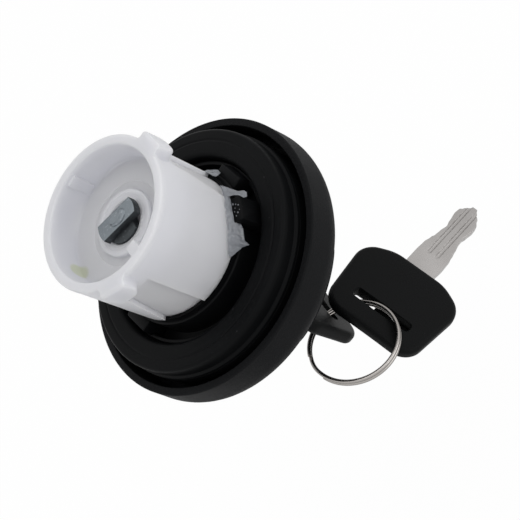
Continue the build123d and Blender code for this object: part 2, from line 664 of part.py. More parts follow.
with BuildPart() as lock_plug:
    with BuildSketch(Plane.XY.offset(LOCK_FACE_Z)):
        Circle(PLUG_R)
    extrude(amount=PLUG_L)
    # keyway
    with BuildSketch(turned_plane(KEY_AZIMUTH, LOCK_FACE_Z)):
        Rectangle(BLADE_W + 2 * KEYWAY_GAP, BLADE_T + 2 * KEYWAY_GAP)
    extrude(amount=BLADE_L + KEYWAY_GAP, mode=Mode.SUBTRACT)
    # one slot across the plug for each wafer
    for height in wafer_heights:
        with BuildSketch(turned_plane(KEY_AZIMUTH, height)):
            Rectangle(3 * PLUG_R, WAFER_W + 2 * RUN_FIT)
        extrude(amount=WAFER_T + 2 * RUN_FIT, mode=Mode.SUBTRACT)
    # slot for the shaft's tang
    with BuildSketch(turned_plane(KEY_AZIMUTH, PLUG_TOP_Z - TANG_H)):
        Rectangle(TANG_L + 2 * RUN_FIT, TANG_W + 2 * RUN_FIT)
    extrude(amount=TANG_H, mode=Mode.SUBTRACT)
    lock_plug.part.label = "lock_plug"
export_step(lock_plug.part, "parts/lock_plug.step")

with BuildPart() as lock_wafers:
    for height in wafer_heights:
        with BuildSketch(turned_plane(KEY_AZIMUTH, height + RUN_FIT)):
            Rectangle(WAFER_L, WAFER_W)
            Rectangle(BLADE_W + KEYWAY_GAP, BLADE_T + KEYWAY_GAP, mode=Mode.SUBTRACT)
        extrude(amount=WAFER_T)
    lock_wafers.part.label = "lock_wafers"
export_step(lock_wafers.part, "parts/lock_wafers.step")

with BuildPart() as plug_shaft:
    with BuildSketch(turned_plane(KEY_AZIMUTH, PLUG_TOP_Z - TANG_H + END_PLAY)):
        Rectangle(TANG_L, TANG_W)
    extrude(amount=TANG_H)
    with BuildSketch(Plane.XY.offset(PLUG_TOP_Z)):
        Circle(SHAFT_R)
    extrude(amount=TAIL_BAR_FOOT_Z - PLUG_TOP_Z)
    with BuildSketch(Plane.XZ):
        with Locations((SHAFT_R - CLIP_GROOVE / 2, SHAFT_CLIP_Z + CLIP_T / 2)):
            Rectangle(CLIP_GROOVE, CLIP_T + 2 * END_PLAY)
    revolve(axis=Axis.Z, mode=Mode.SUBTRACT)
    with BuildSketch(turned_plane(TAIL_BAR_AZIMUTH, TAIL_BAR_FOOT_Z)):
        Rectangle(TENON_L, TENON_W)
    extrude(amount=TAIL_BAR_T + PEEN_H / 2)
    # the tenon's end is peened over the bar into a low oval dome
    with BuildSketch(turned_plane(TAIL_BAR_AZIMUTH, TAIL_BAR_TOP_Z)):
        Ellipse(PEEN_HALF_L, PEEN_HALF_W)
    extrude(amount=PEEN_H, taper=PEEN_TAPER)
    plug_shaft.part.label = "plug_shaft"
export_step(plug_shaft.part, "parts/plug_shaft.step")

with BuildPart() as plug_clip:
    add(snap_ring(SHAFT_R - CLIP_GROOVE + SLIP_FIT, CLIP_RADIAL, SHAFT_CLIP_Z, 0.0))
    plug_clip.part.label = "plug_clip"
export_step(plug_clip.part, "parts/plug_clip.step")

with BuildPart() as tail_bar:
    with BuildSketch(turned_plane(TAIL_BAR_AZIMUTH, TAIL_BAR_FOOT_Z)):
        Circle(TAIL_BAR_L / 2)
        Rectangle(TAIL_BAR_L, TAIL_BAR_W, mode=Mode.INTERSECT)
    extrude(amount=TAIL_BAR_T)
    # thicker step under one side, which throws the latch
    with BuildSketch(turned_plane(TAIL_BAR_AZIMUTH, TAIL_BAR_FOOT_Z - TAIL_STEP_T)):
        Circle(TAIL_STEP_R)
        with Locations((TAIL_STEP_W / 2 - TAIL_STEP_R, -TAIL_STEP_R / 2)):
            Rectangle(TAIL_STEP_W, TAIL_STEP_R, mode=Mode.INTERSECT)
    extrude(amount=TAIL_STEP_T + TAIL_BAR_T / 2)
    with BuildSketch(turned_plane(TAIL_BAR_AZIMUTH, TAIL_BAR_FOOT_Z - TAIL_STEP_T)):
        Circle(SHAFT_R + RUN_FIT)
    extrude(amount=TAIL_STEP_T, mode=Mode.SUBTRACT)
    with BuildSketch(turned_plane(TAIL_BAR_AZIMUTH, TAIL_BAR_FOOT_Z)):
        Rectangle(TENON_L, TENON_W)
    extrude(amount=TAIL_BAR_T, mode=Mode.SUBTRACT)
    tail_bar.part.label = "tail_bar"
export_step(tail_bar.part, "parts/tail_bar.step")


# ---------------------------------------------------------------- keys
# A key is drawn flat about the centre of its head's slot: x across the head, y to the blade.
def key_plane(slot_centre, across, face):
    """The key's middle plane, with its origin in the slot."""
    return Plane(origin=slot_centre, x_dir=across, z_dir=face)


def blade_edge(depths):
    """One cut edge of the blade: distance from the crown, and half width, at each corner."""
    corners = [(-BLADE_TANG, BLADE_W / 2), (WAFER_FIRST - WAFER_PITCH / 2, BLADE_W / 2)]
    for step, depth in enumerate(depths):
        cut_at = WAFER_FIRST + WAFER_T / 2 + step * WAFER_PITCH
        following = depths[step + 1] if step + 1 < len(depths) else depth
        corners.append((cut_at - WAFER_T / 2, BLADE_W / 2 - depth))
        corners.append((cut_at + WAFER_T / 2, BLADE_W / 2 - depth))
        corners.append((cut_at + WAFER_PITCH / 2, BLADE_W / 2 - min(depth, following) * BLADE_PEAK))
    corners.append((BLADE_L - BLADE_TIP, BLADE_W / 2 - depths[-1]))
    corners.append((BLADE_L, BLADE_TIP_HALF))
    return corners


def make_blade(middle):
    """Flat steel blade: cut edges, a groove pair on each face, and a tang inside the head."""
    right = [(half, HEAD_SLOT_TO_CROWN + at) for at, half in blade_edge(BLADE_CUTS_RIGHT)]
    left = [(-half, HEAD_SLOT_TO_CROWN + at) for at, half in blade_edge(BLADE_CUTS_LEFT)]
    with BuildPart() as blade:
        with BuildSketch(middle.offset(-BLADE_T / 2)):
            with BuildLine():
                Polyline(*right, *reversed(left), close=True)
            make_face()
        extrude(amount=BLADE_T)
        for side in (-1, 1):
            with BuildSketch(middle.offset(side * BLADE_T / 2)):
                for across in BLADE_GROOVES:
                    with Locations((across, HEAD_SLOT_TO_CROWN + BLADE_L - BLADE_GROOVE_L / 2 + BLADE_TIP)):
                        Rectangle(BLADE_GROOVE_W, BLADE_GROOVE_L)
            extrude(amount=BLADE_GROOVE_DEPTH, both=True, mode=Mode.SUBTRACT)
    return blade.part


def make_head(middle, blade):
    """Moulded key head with rounded edges, a slot for the ring and the blade's tang cast in."""
    with BuildPart() as head:
        with BuildSketch(middle.offset(-HEAD_T / 2)) as outline:
            with BuildLine():
                Polyline(
                    (-HEAD_FAR_HALF, -HEAD_FAR_TO_SLOT),
                    (HEAD_FAR_HALF, -HEAD_FAR_TO_SLOT),
                    (HEAD_WIDE_HALF, HEAD_SLOT_TO_SHOULDER),
                    (HEAD_CROWN_HALF, HEAD_SLOT_TO_CROWN),
                    (-HEAD_CROWN_HALF, HEAD_SLOT_TO_CROWN),
                    (-HEAD_WIDE_HALF, HEAD_SLOT_TO_SHOULDER),
                    close=True,
                )
            make_face()
            fillet(outline.vertices().group_by(Axis.Y)[0], radius=HEAD_FAR_ROUND)
            fillet(outline.vertices().group_by(Axis.Y)[-1], radius=HEAD_CROWN_ROUND)
            widest = outline.vertices().sort_by(Axis.X)
            fillet([widest[0], widest[-1]], radius=HEAD_SHOULDER_ROUND)
        extrude(amount=HEAD_T)
        rim = head.faces().sort_by(Axis(middle.origin, middle.z_dir))
        fillet(rim[0].edges() + rim[-1].edges(), radius=HEAD_EDGE_ROUND)
        with BuildSketch(middle.offset(-HEAD_T / 2)):
            RectangleRounded(SLOT_L, SLOT_W, SLOT_CORNER_ROUND)
        extrude(amount=HEAD_T, mode=Mode.SUBTRACT)
        rim = head.faces().sort_by(Axis(middle.origin, middle.z_dir))
        slot_edges = rim[0].inner_wires()[0].edges() + rim[-1].inner_wires()[0].edges()
        chamfer(slot_edges, length=SLOT_CHAMFER)
        add(blade, mode=Mode.SUBTRACT)
    return head.part


lock_turn = radians(KEY_AZIMUTH)
lock_key_plane = key_plane(KEY_SLOT, (cos(lock_turn), sin(lock_turn), 0),
                           (sin(lock_turn), -cos(lock_turn), 0))
spare_key_plane = key_plane(SPARE_SLOT, SPARE_ACROSS, SPARE_FACE)

for prefix, middle in (("", lock_key_plane), ("spare_", spare_key_plane)):
    blade_part = make_blade(middle)
    blade_part.label = prefix + "key_blade"
    export_step(blade_part, f"parts/{blade_part.label}.step")
    head_part = make_head(middle, blade_part)
    head_part.label = prefix + "key_head"
    export_step(head_part, f"parts/{head_part.label}.step")

# ---------------------------------------------------------------- split ring
# Two flat turns of wire, one on the other, joined by a short crossing where each end lies.
ring_plane = Plane(origin=RING_CENTRE, x_dir=RING_JOIN_SIDE, z_dir=RING_AXIS)
turn_rise = RING_WIRE + RING_TURN_GAP
join_half = radians(RING_JOIN_SPAN / 2)
join_x = RING_R * cos(join_half)
join_y = RING_R * sin(join_half)
with BuildPart() as split_ring:
    with BuildLine(ring_plane) as wire_path:
        ThreePointArc((join_x, join_y, -turn_rise / 2), (-RING_R, 0, -turn_rise / 2),
                      (join_x, -join_y, -turn_rise / 2))
        Spline(
            (join_x, -join_y, -turn_rise / 2),
            (RING_R, 0, 0),
            (join_x, join_y, turn_rise / 2),
            tangents=((sin(join_half), cos(join_half), 0), (-sin(join_half), cos(join_half), 0)),
        )
        ThreePointArc((join_x, join_y, turn_rise / 2), (-RING_R, 0, turn_rise / 2),
                      (join_x, -join_y, turn_rise / 2))
    with BuildSketch(Plane(origin=wire_path.line @ 0, z_dir=wire_path.line % 0)):
        Circle(RING_WIRE / 2)
    sweep(transition=Transition.TRANSFORMED)
    split_ring.part.label = "split_ring"
export_step(split_ring.part, "parts/split_ring.step")
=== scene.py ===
"""Locking fuel filler cap: bayonet sleeve, gasket, grip cover, lock, two keys and a split ring.

Lengths in the classes are millimetres in the cap's own frame: +Z runs along the axis into the
filler neck, and the origin is in the plane of the gasket's sealing face. Meshes are written in
metres.
"""

import logging
import math
from collections.abc import Iterable, Sequence
from dataclasses import dataclass, field
from enum import Enum

import bmesh
import bpy
from mathutils import Matrix, Vector, noise


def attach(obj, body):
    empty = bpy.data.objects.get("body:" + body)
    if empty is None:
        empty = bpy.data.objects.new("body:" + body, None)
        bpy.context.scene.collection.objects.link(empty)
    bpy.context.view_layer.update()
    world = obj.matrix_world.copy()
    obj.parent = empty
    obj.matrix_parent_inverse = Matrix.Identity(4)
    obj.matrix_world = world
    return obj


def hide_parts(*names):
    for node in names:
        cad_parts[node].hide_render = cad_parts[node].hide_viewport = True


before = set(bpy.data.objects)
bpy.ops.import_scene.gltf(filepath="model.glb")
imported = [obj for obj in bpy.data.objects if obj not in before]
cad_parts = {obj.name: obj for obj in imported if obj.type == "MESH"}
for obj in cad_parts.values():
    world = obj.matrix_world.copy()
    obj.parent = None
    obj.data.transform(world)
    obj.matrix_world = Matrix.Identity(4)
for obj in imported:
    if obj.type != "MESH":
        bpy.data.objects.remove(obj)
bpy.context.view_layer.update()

MM = 0.001
SHARP_DEG = 32.0  # edges that turn by more than this stay crisp
LOG = logging.getLogger("filler_cap")
Point2 = tuple[float, float]
Point3 = tuple[float, float, float]
Station = tuple[Point3, Point3]
Ring = list[Vector]


class Body(Enum):
    """The moving bodies that pieces ride on."""

    SLEEVE = "sleeve"
    COVER = "cover"
    PLUG = "plug"
    KEY = "key"
    RING = "ring"
    SPARE = "spare_key"


# ---------------------------------------------------------------- mesh tools
def polar(radius: float, azimuth: float, height: float) -> Vector:
    """A point from its radius, azimuth in degrees and height."""
    turn = math.radians(azimuth)
    return Vector((radius * math.cos(turn), radius * math.sin(turn), height))


def rounded_outline(corners: Sequence[Point3], steps: int = 6) -> list[Point2]:
    """Rounds the corners of a closed polygon.

    Args:
        corners: x, y and fillet radius of each corner, in order.
        steps: points on each fillet, less one.

    Returns:
        The closed outline as points, without repeating the first.
    """
    outline: list[Point2] = []
    count = len(corners)
    for index, (x, y, radius) in enumerate(corners):
        here = Vector((x, y))
        if radius <= 0.0:
            outline.append((x, y))
            continue
        before = Vector(corners[index - 1][:2]) - here
        after = Vector(corners[(index + 1) % count][:2]) - here
        half = before.angle(after) / 2
        reach = min(radius / math.tan(half), before.length * 0.49, after.length * 0.49)
        true_radius = reach * math.tan(half)
        start = here + before.normalized() * reach
        end = here + after.normalized() * reach
        inward = (before.normalized() + after.normalized()).normalized()
        centre = here + inward * (true_radius / math.sin(half))
        from_centre = start - centre
        sweep = from_centre.angle_signed(end - centre)
        for step in range(steps + 1):
            turned = from_centre.copy()
            turned.rotate(Matrix.Rotation(-sweep * step / steps, 2))
            outline.append(tuple(centre + turned))
    return outline


def smoothed(mesh: bpy.types.Mesh, sharp_deg: float = SHARP_DEG) -> bpy.types.Mesh:
    """Shades a mesh smooth, apart from the edges that turn by more than the given angle."""
    mesh.shade_smooth()
    mesh.set_sharp_from_angle(angle=math.radians(sharp_deg))
    return mesh


def linked(name: str, data: bpy.types.ID) -> bpy.types.Object:
    """A new object with the given data, linked to the scene."""
    piece = bpy.data.objects.new(name, data)
    bpy.context.scene.collection.objects.link(piece)
    return piece


def circle(centre: Vector, right: Vector, up: Vector, radius: float, count: int) -> Ring:
    """Points on a circle round a centre, in the plane of two directions."""
    turns = (2 * math.pi * step / count for step in range(count))
    return [centre + (right * math.cos(turn) + up * math.sin(turn)) * radius for turn in turns]


def finish_mesh(name: str, vertices: Iterable[Vector], faces: Iterable[Sequence[int]],
                sharp_deg: float = SHARP_DEG, scale: float = MM) -> bpy.types.Object:
    """Makes an object from vertices in millimetres and faces, with its normals outward.

    Args:
        name: the piece's name.
        vertices: points in millimetres.
        faces: vertex indices of each face.
        sharp_deg: edges that turn by more than this stay crisp.
        scale: from the vertices' units to metres.

    Returns:
        The new object, linked to the scene.
    """
    mesh = bpy.data.meshes.new(name)
    mesh.from_pydata([vertex * scale for vertex in vertices], [], [tuple(face) for face in faces])
    work = bmesh.new()
    work.from_mesh(mesh)
    bmesh.ops.remove_doubles(work, verts=work.verts, dist=1e-7)
    bmesh.ops.recalc_face_normals(work, faces=work.faces)
    if work.calc_volume(signed=True) < 0:
        bmesh.ops.reverse_faces(work, faces=work.faces)
    work.to_mesh(mesh)
    work.free()
    return linked(name, smoothed(mesh, sharp_deg))


def skin_rings(name: str, rings: Sequence[Ring], closed: bool = False,
               sharp_deg: float = SHARP_DEG) -> bpy.types.Object:
    """Joins rings of equal length into one closed skin.

    Args:
        name: the piece's name.
        rings: the rings, in order along the skin.
        closed: whether the last ring joins the first; otherwise both ends are capped.
        sharp_deg: edges that turn by more than this stay crisp.

    Returns:
        The new object.
    """
    size = len(rings[0])
    vertices = [vertex for ring in rings for vertex in ring]
    faces: list[Sequence[int]] = []
    last = len(rings) if closed else len(rings) - 1
    for row in range(last):
        low = row * size
        high = ((row + 1) % len(rings)) * size
        for step in range(size):
            following = (step + 1) % size
            faces.append((low + step, low + following, high + following, high + step))
    if not closed:
        faces.append(tuple(range(size)))
        faces.append(tuple(range(last * size, (last + 1) * size)))
    return finish_mesh(name, vertices, faces, sharp_deg)


def lathe(name: str, corners: Sequence[Point3], segments: int = 240, steps: int = 5,
          sharp_deg: float = SHARP_DEG) -> bpy.types.Object:
    """Turns a closed profile about the axis.

    Args:
        name: the piece's name.
        corners: radius, height and fillet of each corner of the profile.
        segments: faces round the axis.
        steps: faces on each fillet.
        sharp_deg: edges that turn by more than this stay crisp.

    Returns:
        The turned piece.
    """
    profile = rounded_outline(corners, steps)
    rings = [[polar(radius, 360 * turn / segments, z) for turn in range(segments)]
             for radius, z in profile]
    return skin_rings(name, rings, closed=True, sharp_deg=sharp_deg)


def rounded_block(name: str, azimuth: float, radii: Point2, width: float, heights: Point2,
                  edge: float, lean: float = 0.0) -> bpy.types.Object:
    """A block that stands on a radius of the cap, with its edges rounded.

    Args:
        name: the piece's name.
        azimuth: where it stands, in degrees.
        radii: inner and outer radius at its foot.
        width: size along the rim.
        heights: lower and upper height.
        edge: radius of its edges.
        lean: how much the outer face comes in at the top.

    Returns:
        The block.
    """
    outward = polar(1, azimuth, 0)
    side = polar(1, azimuth + 90, 0)
    low, high = heights
    outline = rounded_outline([(-width / 2, low, edge), (width / 2, low, edge),
                               (width / 2, high, edge), (-width / 2, high, edge)], 4)
    middle = (low + high) / 2
    reach = radii[1] - radii[0]
    rings: list[Ring] = []
    for share, shrink in ((0.0, 1.0), (0.3 * edge / reach, 0.3), (edge / reach, 0.0),
                          (1 - edge / reach, 0.0), (1 - 0.3 * edge / reach, 0.3), (1.0, 1.0)):
        ring: Ring = []
        for along, z in outline:
            along_in = along * (1 - shrink * edge / (width / 2))
            z_in = middle + (z - middle) * (1 - shrink * edge / (high - middle))
            radius = radii[0] + (reach - lean * (z_in - low) / (high - low)) * share
            ring.append(outward * radius + side * along_in + Vector((0, 0, z_in)))
        rings.append(ring)
    return skin_rings(name, rings)


def applied(piece: bpy.types.Object) -> bpy.types.Object:
    """Turns a piece's modifiers into its mesh and removes them."""
    graph = bpy.context.evaluated_depsgraph_get()
    graph.update()
    result = bpy.data.meshes.new_from_object(piece.evaluated_get(graph), depsgraph=graph)
    piece.modifiers.clear()
    piece.data = result
    return piece


def combine(target: bpy.types.Object, other: bpy.types.Object, operation: str) -> bpy.types.Object:
    """Cuts a piece with another, or fuses them, and discards the other.

    Args:
        target: the piece that is kept.
        other: the tool.
        operation: DIFFERENCE or UNION.

    Returns:
        The target.
    """
    modifier = target.modifiers.new("combine", "BOOLEAN")
    modifier.object = other
    modifier.operation = operation
    modifier.solver = "EXACT"
    applied(target)
    bpy.data.objects.remove(other)
    smoothed(target.data)
    return target


def merged(name: str, parts: Sequence[bpy.types.Object]) -> bpy.types.Object:
    """Puts several meshes into one object and discards the originals.

    Args:
        name: the new piece's name.
        parts: the pieces; the first one's materials are kept.

    Returns:
        The new object.
    """
    work = bmesh.new()
    for part in parts:
        work.from_mesh(part.data)
    mesh = bpy.data.meshes.new(name)
    work.to_mesh(mesh)
    work.free()
    for material in parts[0].data.materials:
        mesh.materials.append(material)
    for part in parts:
        bpy.data.objects.remove(part)
    return linked(name, smoothed(mesh))


# ---------------------------------------------------------------- geometry nodes
def add_node(tree: bpy.types.NodeTree, kind: str, inputs: dict[str | int, object] | None = None,
             **settings: object) -> bpy.types.Node:
    """Adds a node to a tree.

    Args:
        tree: the tree.
        kind: the node's type.
        inputs: for an input's name or number, the output that feeds it or its value.
        settings: the node's own settings.

    Returns:
        The node.
    """
    node = tree.nodes.new(kind)
    for setting, value in settings.items():
        setattr(node, setting, value)
    for socket, value in (inputs or {}).items():
        if isinstance(value, bpy.types.NodeSocket):
            tree.links.new(value, node.inputs[socket])
        else:
            node.inputs[socket].default_value = value
    return node


def math_node(tree: bpy.types.NodeTree, operation: str, first: object,
              second: object) -> bpy.types.NodeSocket:
    """The result of one operation on two values or outputs."""
    node = add_node(tree, "ShaderNodeMath", {0: first, 1: second}, operation=operation)
    return node.outputs[0]


def new_tree(name: str, inputs: Sequence[tuple[str, str]]) -> bpy.types.GeometryNodeTree:
    """An empty geometry tree with a geometry in and out and the named inputs."""
    tree = bpy.data.node_groups.new(name, "GeometryNodeTree")
    tree.interface.new_socket("Geometry", in_out="INPUT", socket_type="NodeSocketGeometry")
    for label, kind in inputs:
        tree.interface.new_socket(label, in_out="INPUT", socket_type=kind)
    tree.interface.new_socket("Geometry", in_out="OUTPUT", socket_type="NodeSocketGeometry")
    tree.nodes.new("NodeGroupInput")
    tree.nodes.new("NodeGroupOutput")
    return tree


def finish_tree(tree: bpy.types.GeometryNodeTree, made: bpy.types.NodeSocket) -> None:
    """Sends the geometry a tree has made to its output as one mesh in the input Material."""
    realize = add_node(tree, "GeometryNodeRealizeInstances", {0: made})
    dress = add_node(tree, "GeometryNodeSetMaterial", {
        "Geometry": realize.outputs[0],
        "Material": tree.nodes["Group Input"].outputs["Material"]})
    tree.links.new(dress.outputs[0], tree.nodes["Group Output"].inputs[0])


def copies_tree() -> bpy.types.GeometryNodeTree:
    """Copies its geometry round the axis: inputs Count, Spacing in radians and Material."""
    tree = new_tree("copies_round_axis", [("Count", "NodeSocketInt"), ("Spacing", "NodeSocketFloat"),
                                          ("Material", "NodeSocketMaterial")])
    given = tree.nodes["Group Input"].outputs
    points = add_node(tree, "GeometryNodePoints", {"Count": given["Count"]})
    index = add_node(tree, "GeometryNodeInputIndex")
    angle = math_node(tree, "MULTIPLY", index.outputs[0], given["Spacing"])
    spin = add_node(tree, "ShaderNodeCombineXYZ", {"Z": angle})
    place = add_node(tree, "GeometryNodeInstanceOnPoints", {
        "Points": points.outputs[0], "Instance": given["Geometry"], "Rotation": spin.outputs[0]})
    finish_tree(tree, place.outputs[0])
    return tree


def wire_tree() -> bpy.types.GeometryNodeTree:
    """Draws a round wire along an edge path: inputs Wire Radius and Material."""
    tree = new_tree("wire_along_path", [("Wire Radius", "NodeSocketFloat"),
                                        ("Material", "NodeSocketMaterial")])
    given = tree.nodes["Group Input"].outputs
    path = add_node(tree, "GeometryNodeMeshToCurve", {0: given["Geometry"]})
    section = add_node(tree, "GeometryNodeCurvePrimitiveCircle", {
        "Resolution": 20, "Radius": given["Wire Radius"]})
    sweep = add_node(tree, "GeometryNodeCurveToMesh", {
        "Curve": path.outputs[0], "Profile Curve": section.outputs[0], "Fill Caps": True})
    finish_tree(tree, sweep.outputs[0])
    return tree


def run_tree(piece: bpy.types.Object, tree: bpy.types.GeometryNodeTree,
             values: dict[str, object]) -> bpy.types.Object:
    """Runs a geometry tree on a piece and keeps the result as its mesh.

    Args:
        piece: the object whose mesh goes in.
        tree: the tree.
        values: each input by its name.

    Returns:
        The same object with its new mesh.
    """
    modifier = piece.modifiers.new(tree.name, "NODES")
    modifier.node_group = tree
    for item in tree.interface.items_tree:
        if item.in_out == "INPUT" and item.name in values:
            modifier[item.identifier] = values[item.name]
    applied(piece)
    smoothed(piece.data)
    return piece


# ---------------------------------------------------------------- shader groups
def shader_group(name: str, inputs: dict[str, float],
                 outputs: Sequence[str]) -> bpy.types.ShaderNodeTree:
    """An empty shader group with the named float inputs and outputs."""
    tree = bpy.data.node_groups.new(name, "ShaderNodeTree")
    kind = "NodeSocketFloat"
    for label, value in inputs.items():
        tree.interface.new_socket(label, in_out="INPUT", socket_type=kind).default_value = value
    for label in outputs:
        tree.interface.new_socket(label, in_out="OUTPUT", socket_type=kind)
    tree.nodes.new("NodeGroupInput")
    tree.nodes.new("NodeGroupOutput")
    return tree


def send_out(tree: bpy.types.ShaderNodeTree, results: dict[str, bpy.types.NodeSocket]) -> None:
    """Links results to a group's outputs by name."""
    for label, result in results.items():
        tree.links.new(result, tree.nodes["Group Output"].inputs[label])


def grain_group() -> bpy.types.ShaderNodeTree:
    """Fine moulded grain: a height, and a mask of the grain's high points that get a painted
    highlight.
    """
    tree = shader_group("moulded_grain", {"Grain Scale": 2600.0, "Tip Level": 0.62},
                        ["Height", "Tip Highlights"])
    given = tree.nodes["Group Input"].outputs
    place = add_node(tree, "ShaderNodeTexCoord").outputs["Object"]
    coarse = add_node(tree, "ShaderNodeTexNoise", {
        "Vector": place, "Scale": given["Grain Scale"], "Detail": 3.0, "Roughness": 0.62})
    cells = add_node(tree, "ShaderNodeTexVoronoi", {
        "Vector": place, "Scale": given["Grain Scale"]}, feature="SMOOTH_F1")
    level = coarse.outputs["Fac"]
    send_out(tree, {"Height": math_node(tree, "SUBTRACT", level, cells.outputs["Distance"]),
                    "Tip Highlights": math_node(tree, "GREATER_THAN", level, given["Tip Level"])})
    return tree


def handling_group() -> bpy.types.ShaderNodeTree:
    """Light handling: a broad uneven mask, and sparse specks of dust."""
    tree = shader_group("handling", {"Patch Scale": 60.0, "Speck Scale": 420.0, "Speck Size": 0.06},
                        ["Patches", "Specks"])
    given = tree.nodes["Group Input"].outputs
    bare_share = 0.9  # share of the cells that hold no speck
    place = add_node(tree, "ShaderNodeTexCoord").outputs["Object"]
    broad = add_node(tree, "ShaderNodeTexNoise", {
        "Vector": place, "Scale": given["Patch Scale"], "Detail": 5.0})
    cells = add_node(tree, "ShaderNodeTexVoronoi", {
        "Vector": place, "Scale": given["Speck Scale"]})
    near = math_node(tree, "LESS_THAN", cells.outputs["Distance"], given["Speck Size"])
    pick = add_node(tree, "ShaderNodeSeparateColor", {0: cells.outputs["Color"]})
    chosen = math_node(tree, "GREATER_THAN", pick.outputs[0], bare_share)
    send_out(tree, {"Patches": broad.outputs["Fac"],
                    "Specks": math_node(tree, "MULTIPLY", near, chosen)})
    return tree


def spot_group() -> bpy.types.ShaderNodeTree:
    """A mask of one soft-edged spot at a place on the piece."""
    tree = shader_group("tinted_spot", {"Spot X": 0.0, "Spot Y": 0.0, "Spot Z": 0.0,
                                        "Spot Size": 0.001}, ["Mask"])
    given = tree.nodes["Group Input"].outputs
    solid_share = 0.75  # share of the radius over which the spot is even
    place = add_node(tree, "ShaderNodeTexCoord").outputs["Object"]
    middle = add_node(tree, "ShaderNodeCombineXYZ", {axis: given[f"Spot {axis}"] for axis in "XYZ"})
    reach = add_node(tree, "ShaderNodeVectorMath", {0: place, 1: middle.outputs[0]},
                     operation="DISTANCE")
    share = math_node(tree, "DIVIDE", reach.outputs["Value"], given["Spot Size"])
    fade = add_node(tree, "ShaderNodeMapRange", {
        "Value": share, "From Min": solid_share, "To Min": 1.0, "To Max": 0.0})
    send_out(tree, {"Mask": fade.outputs[0]})
    return tree


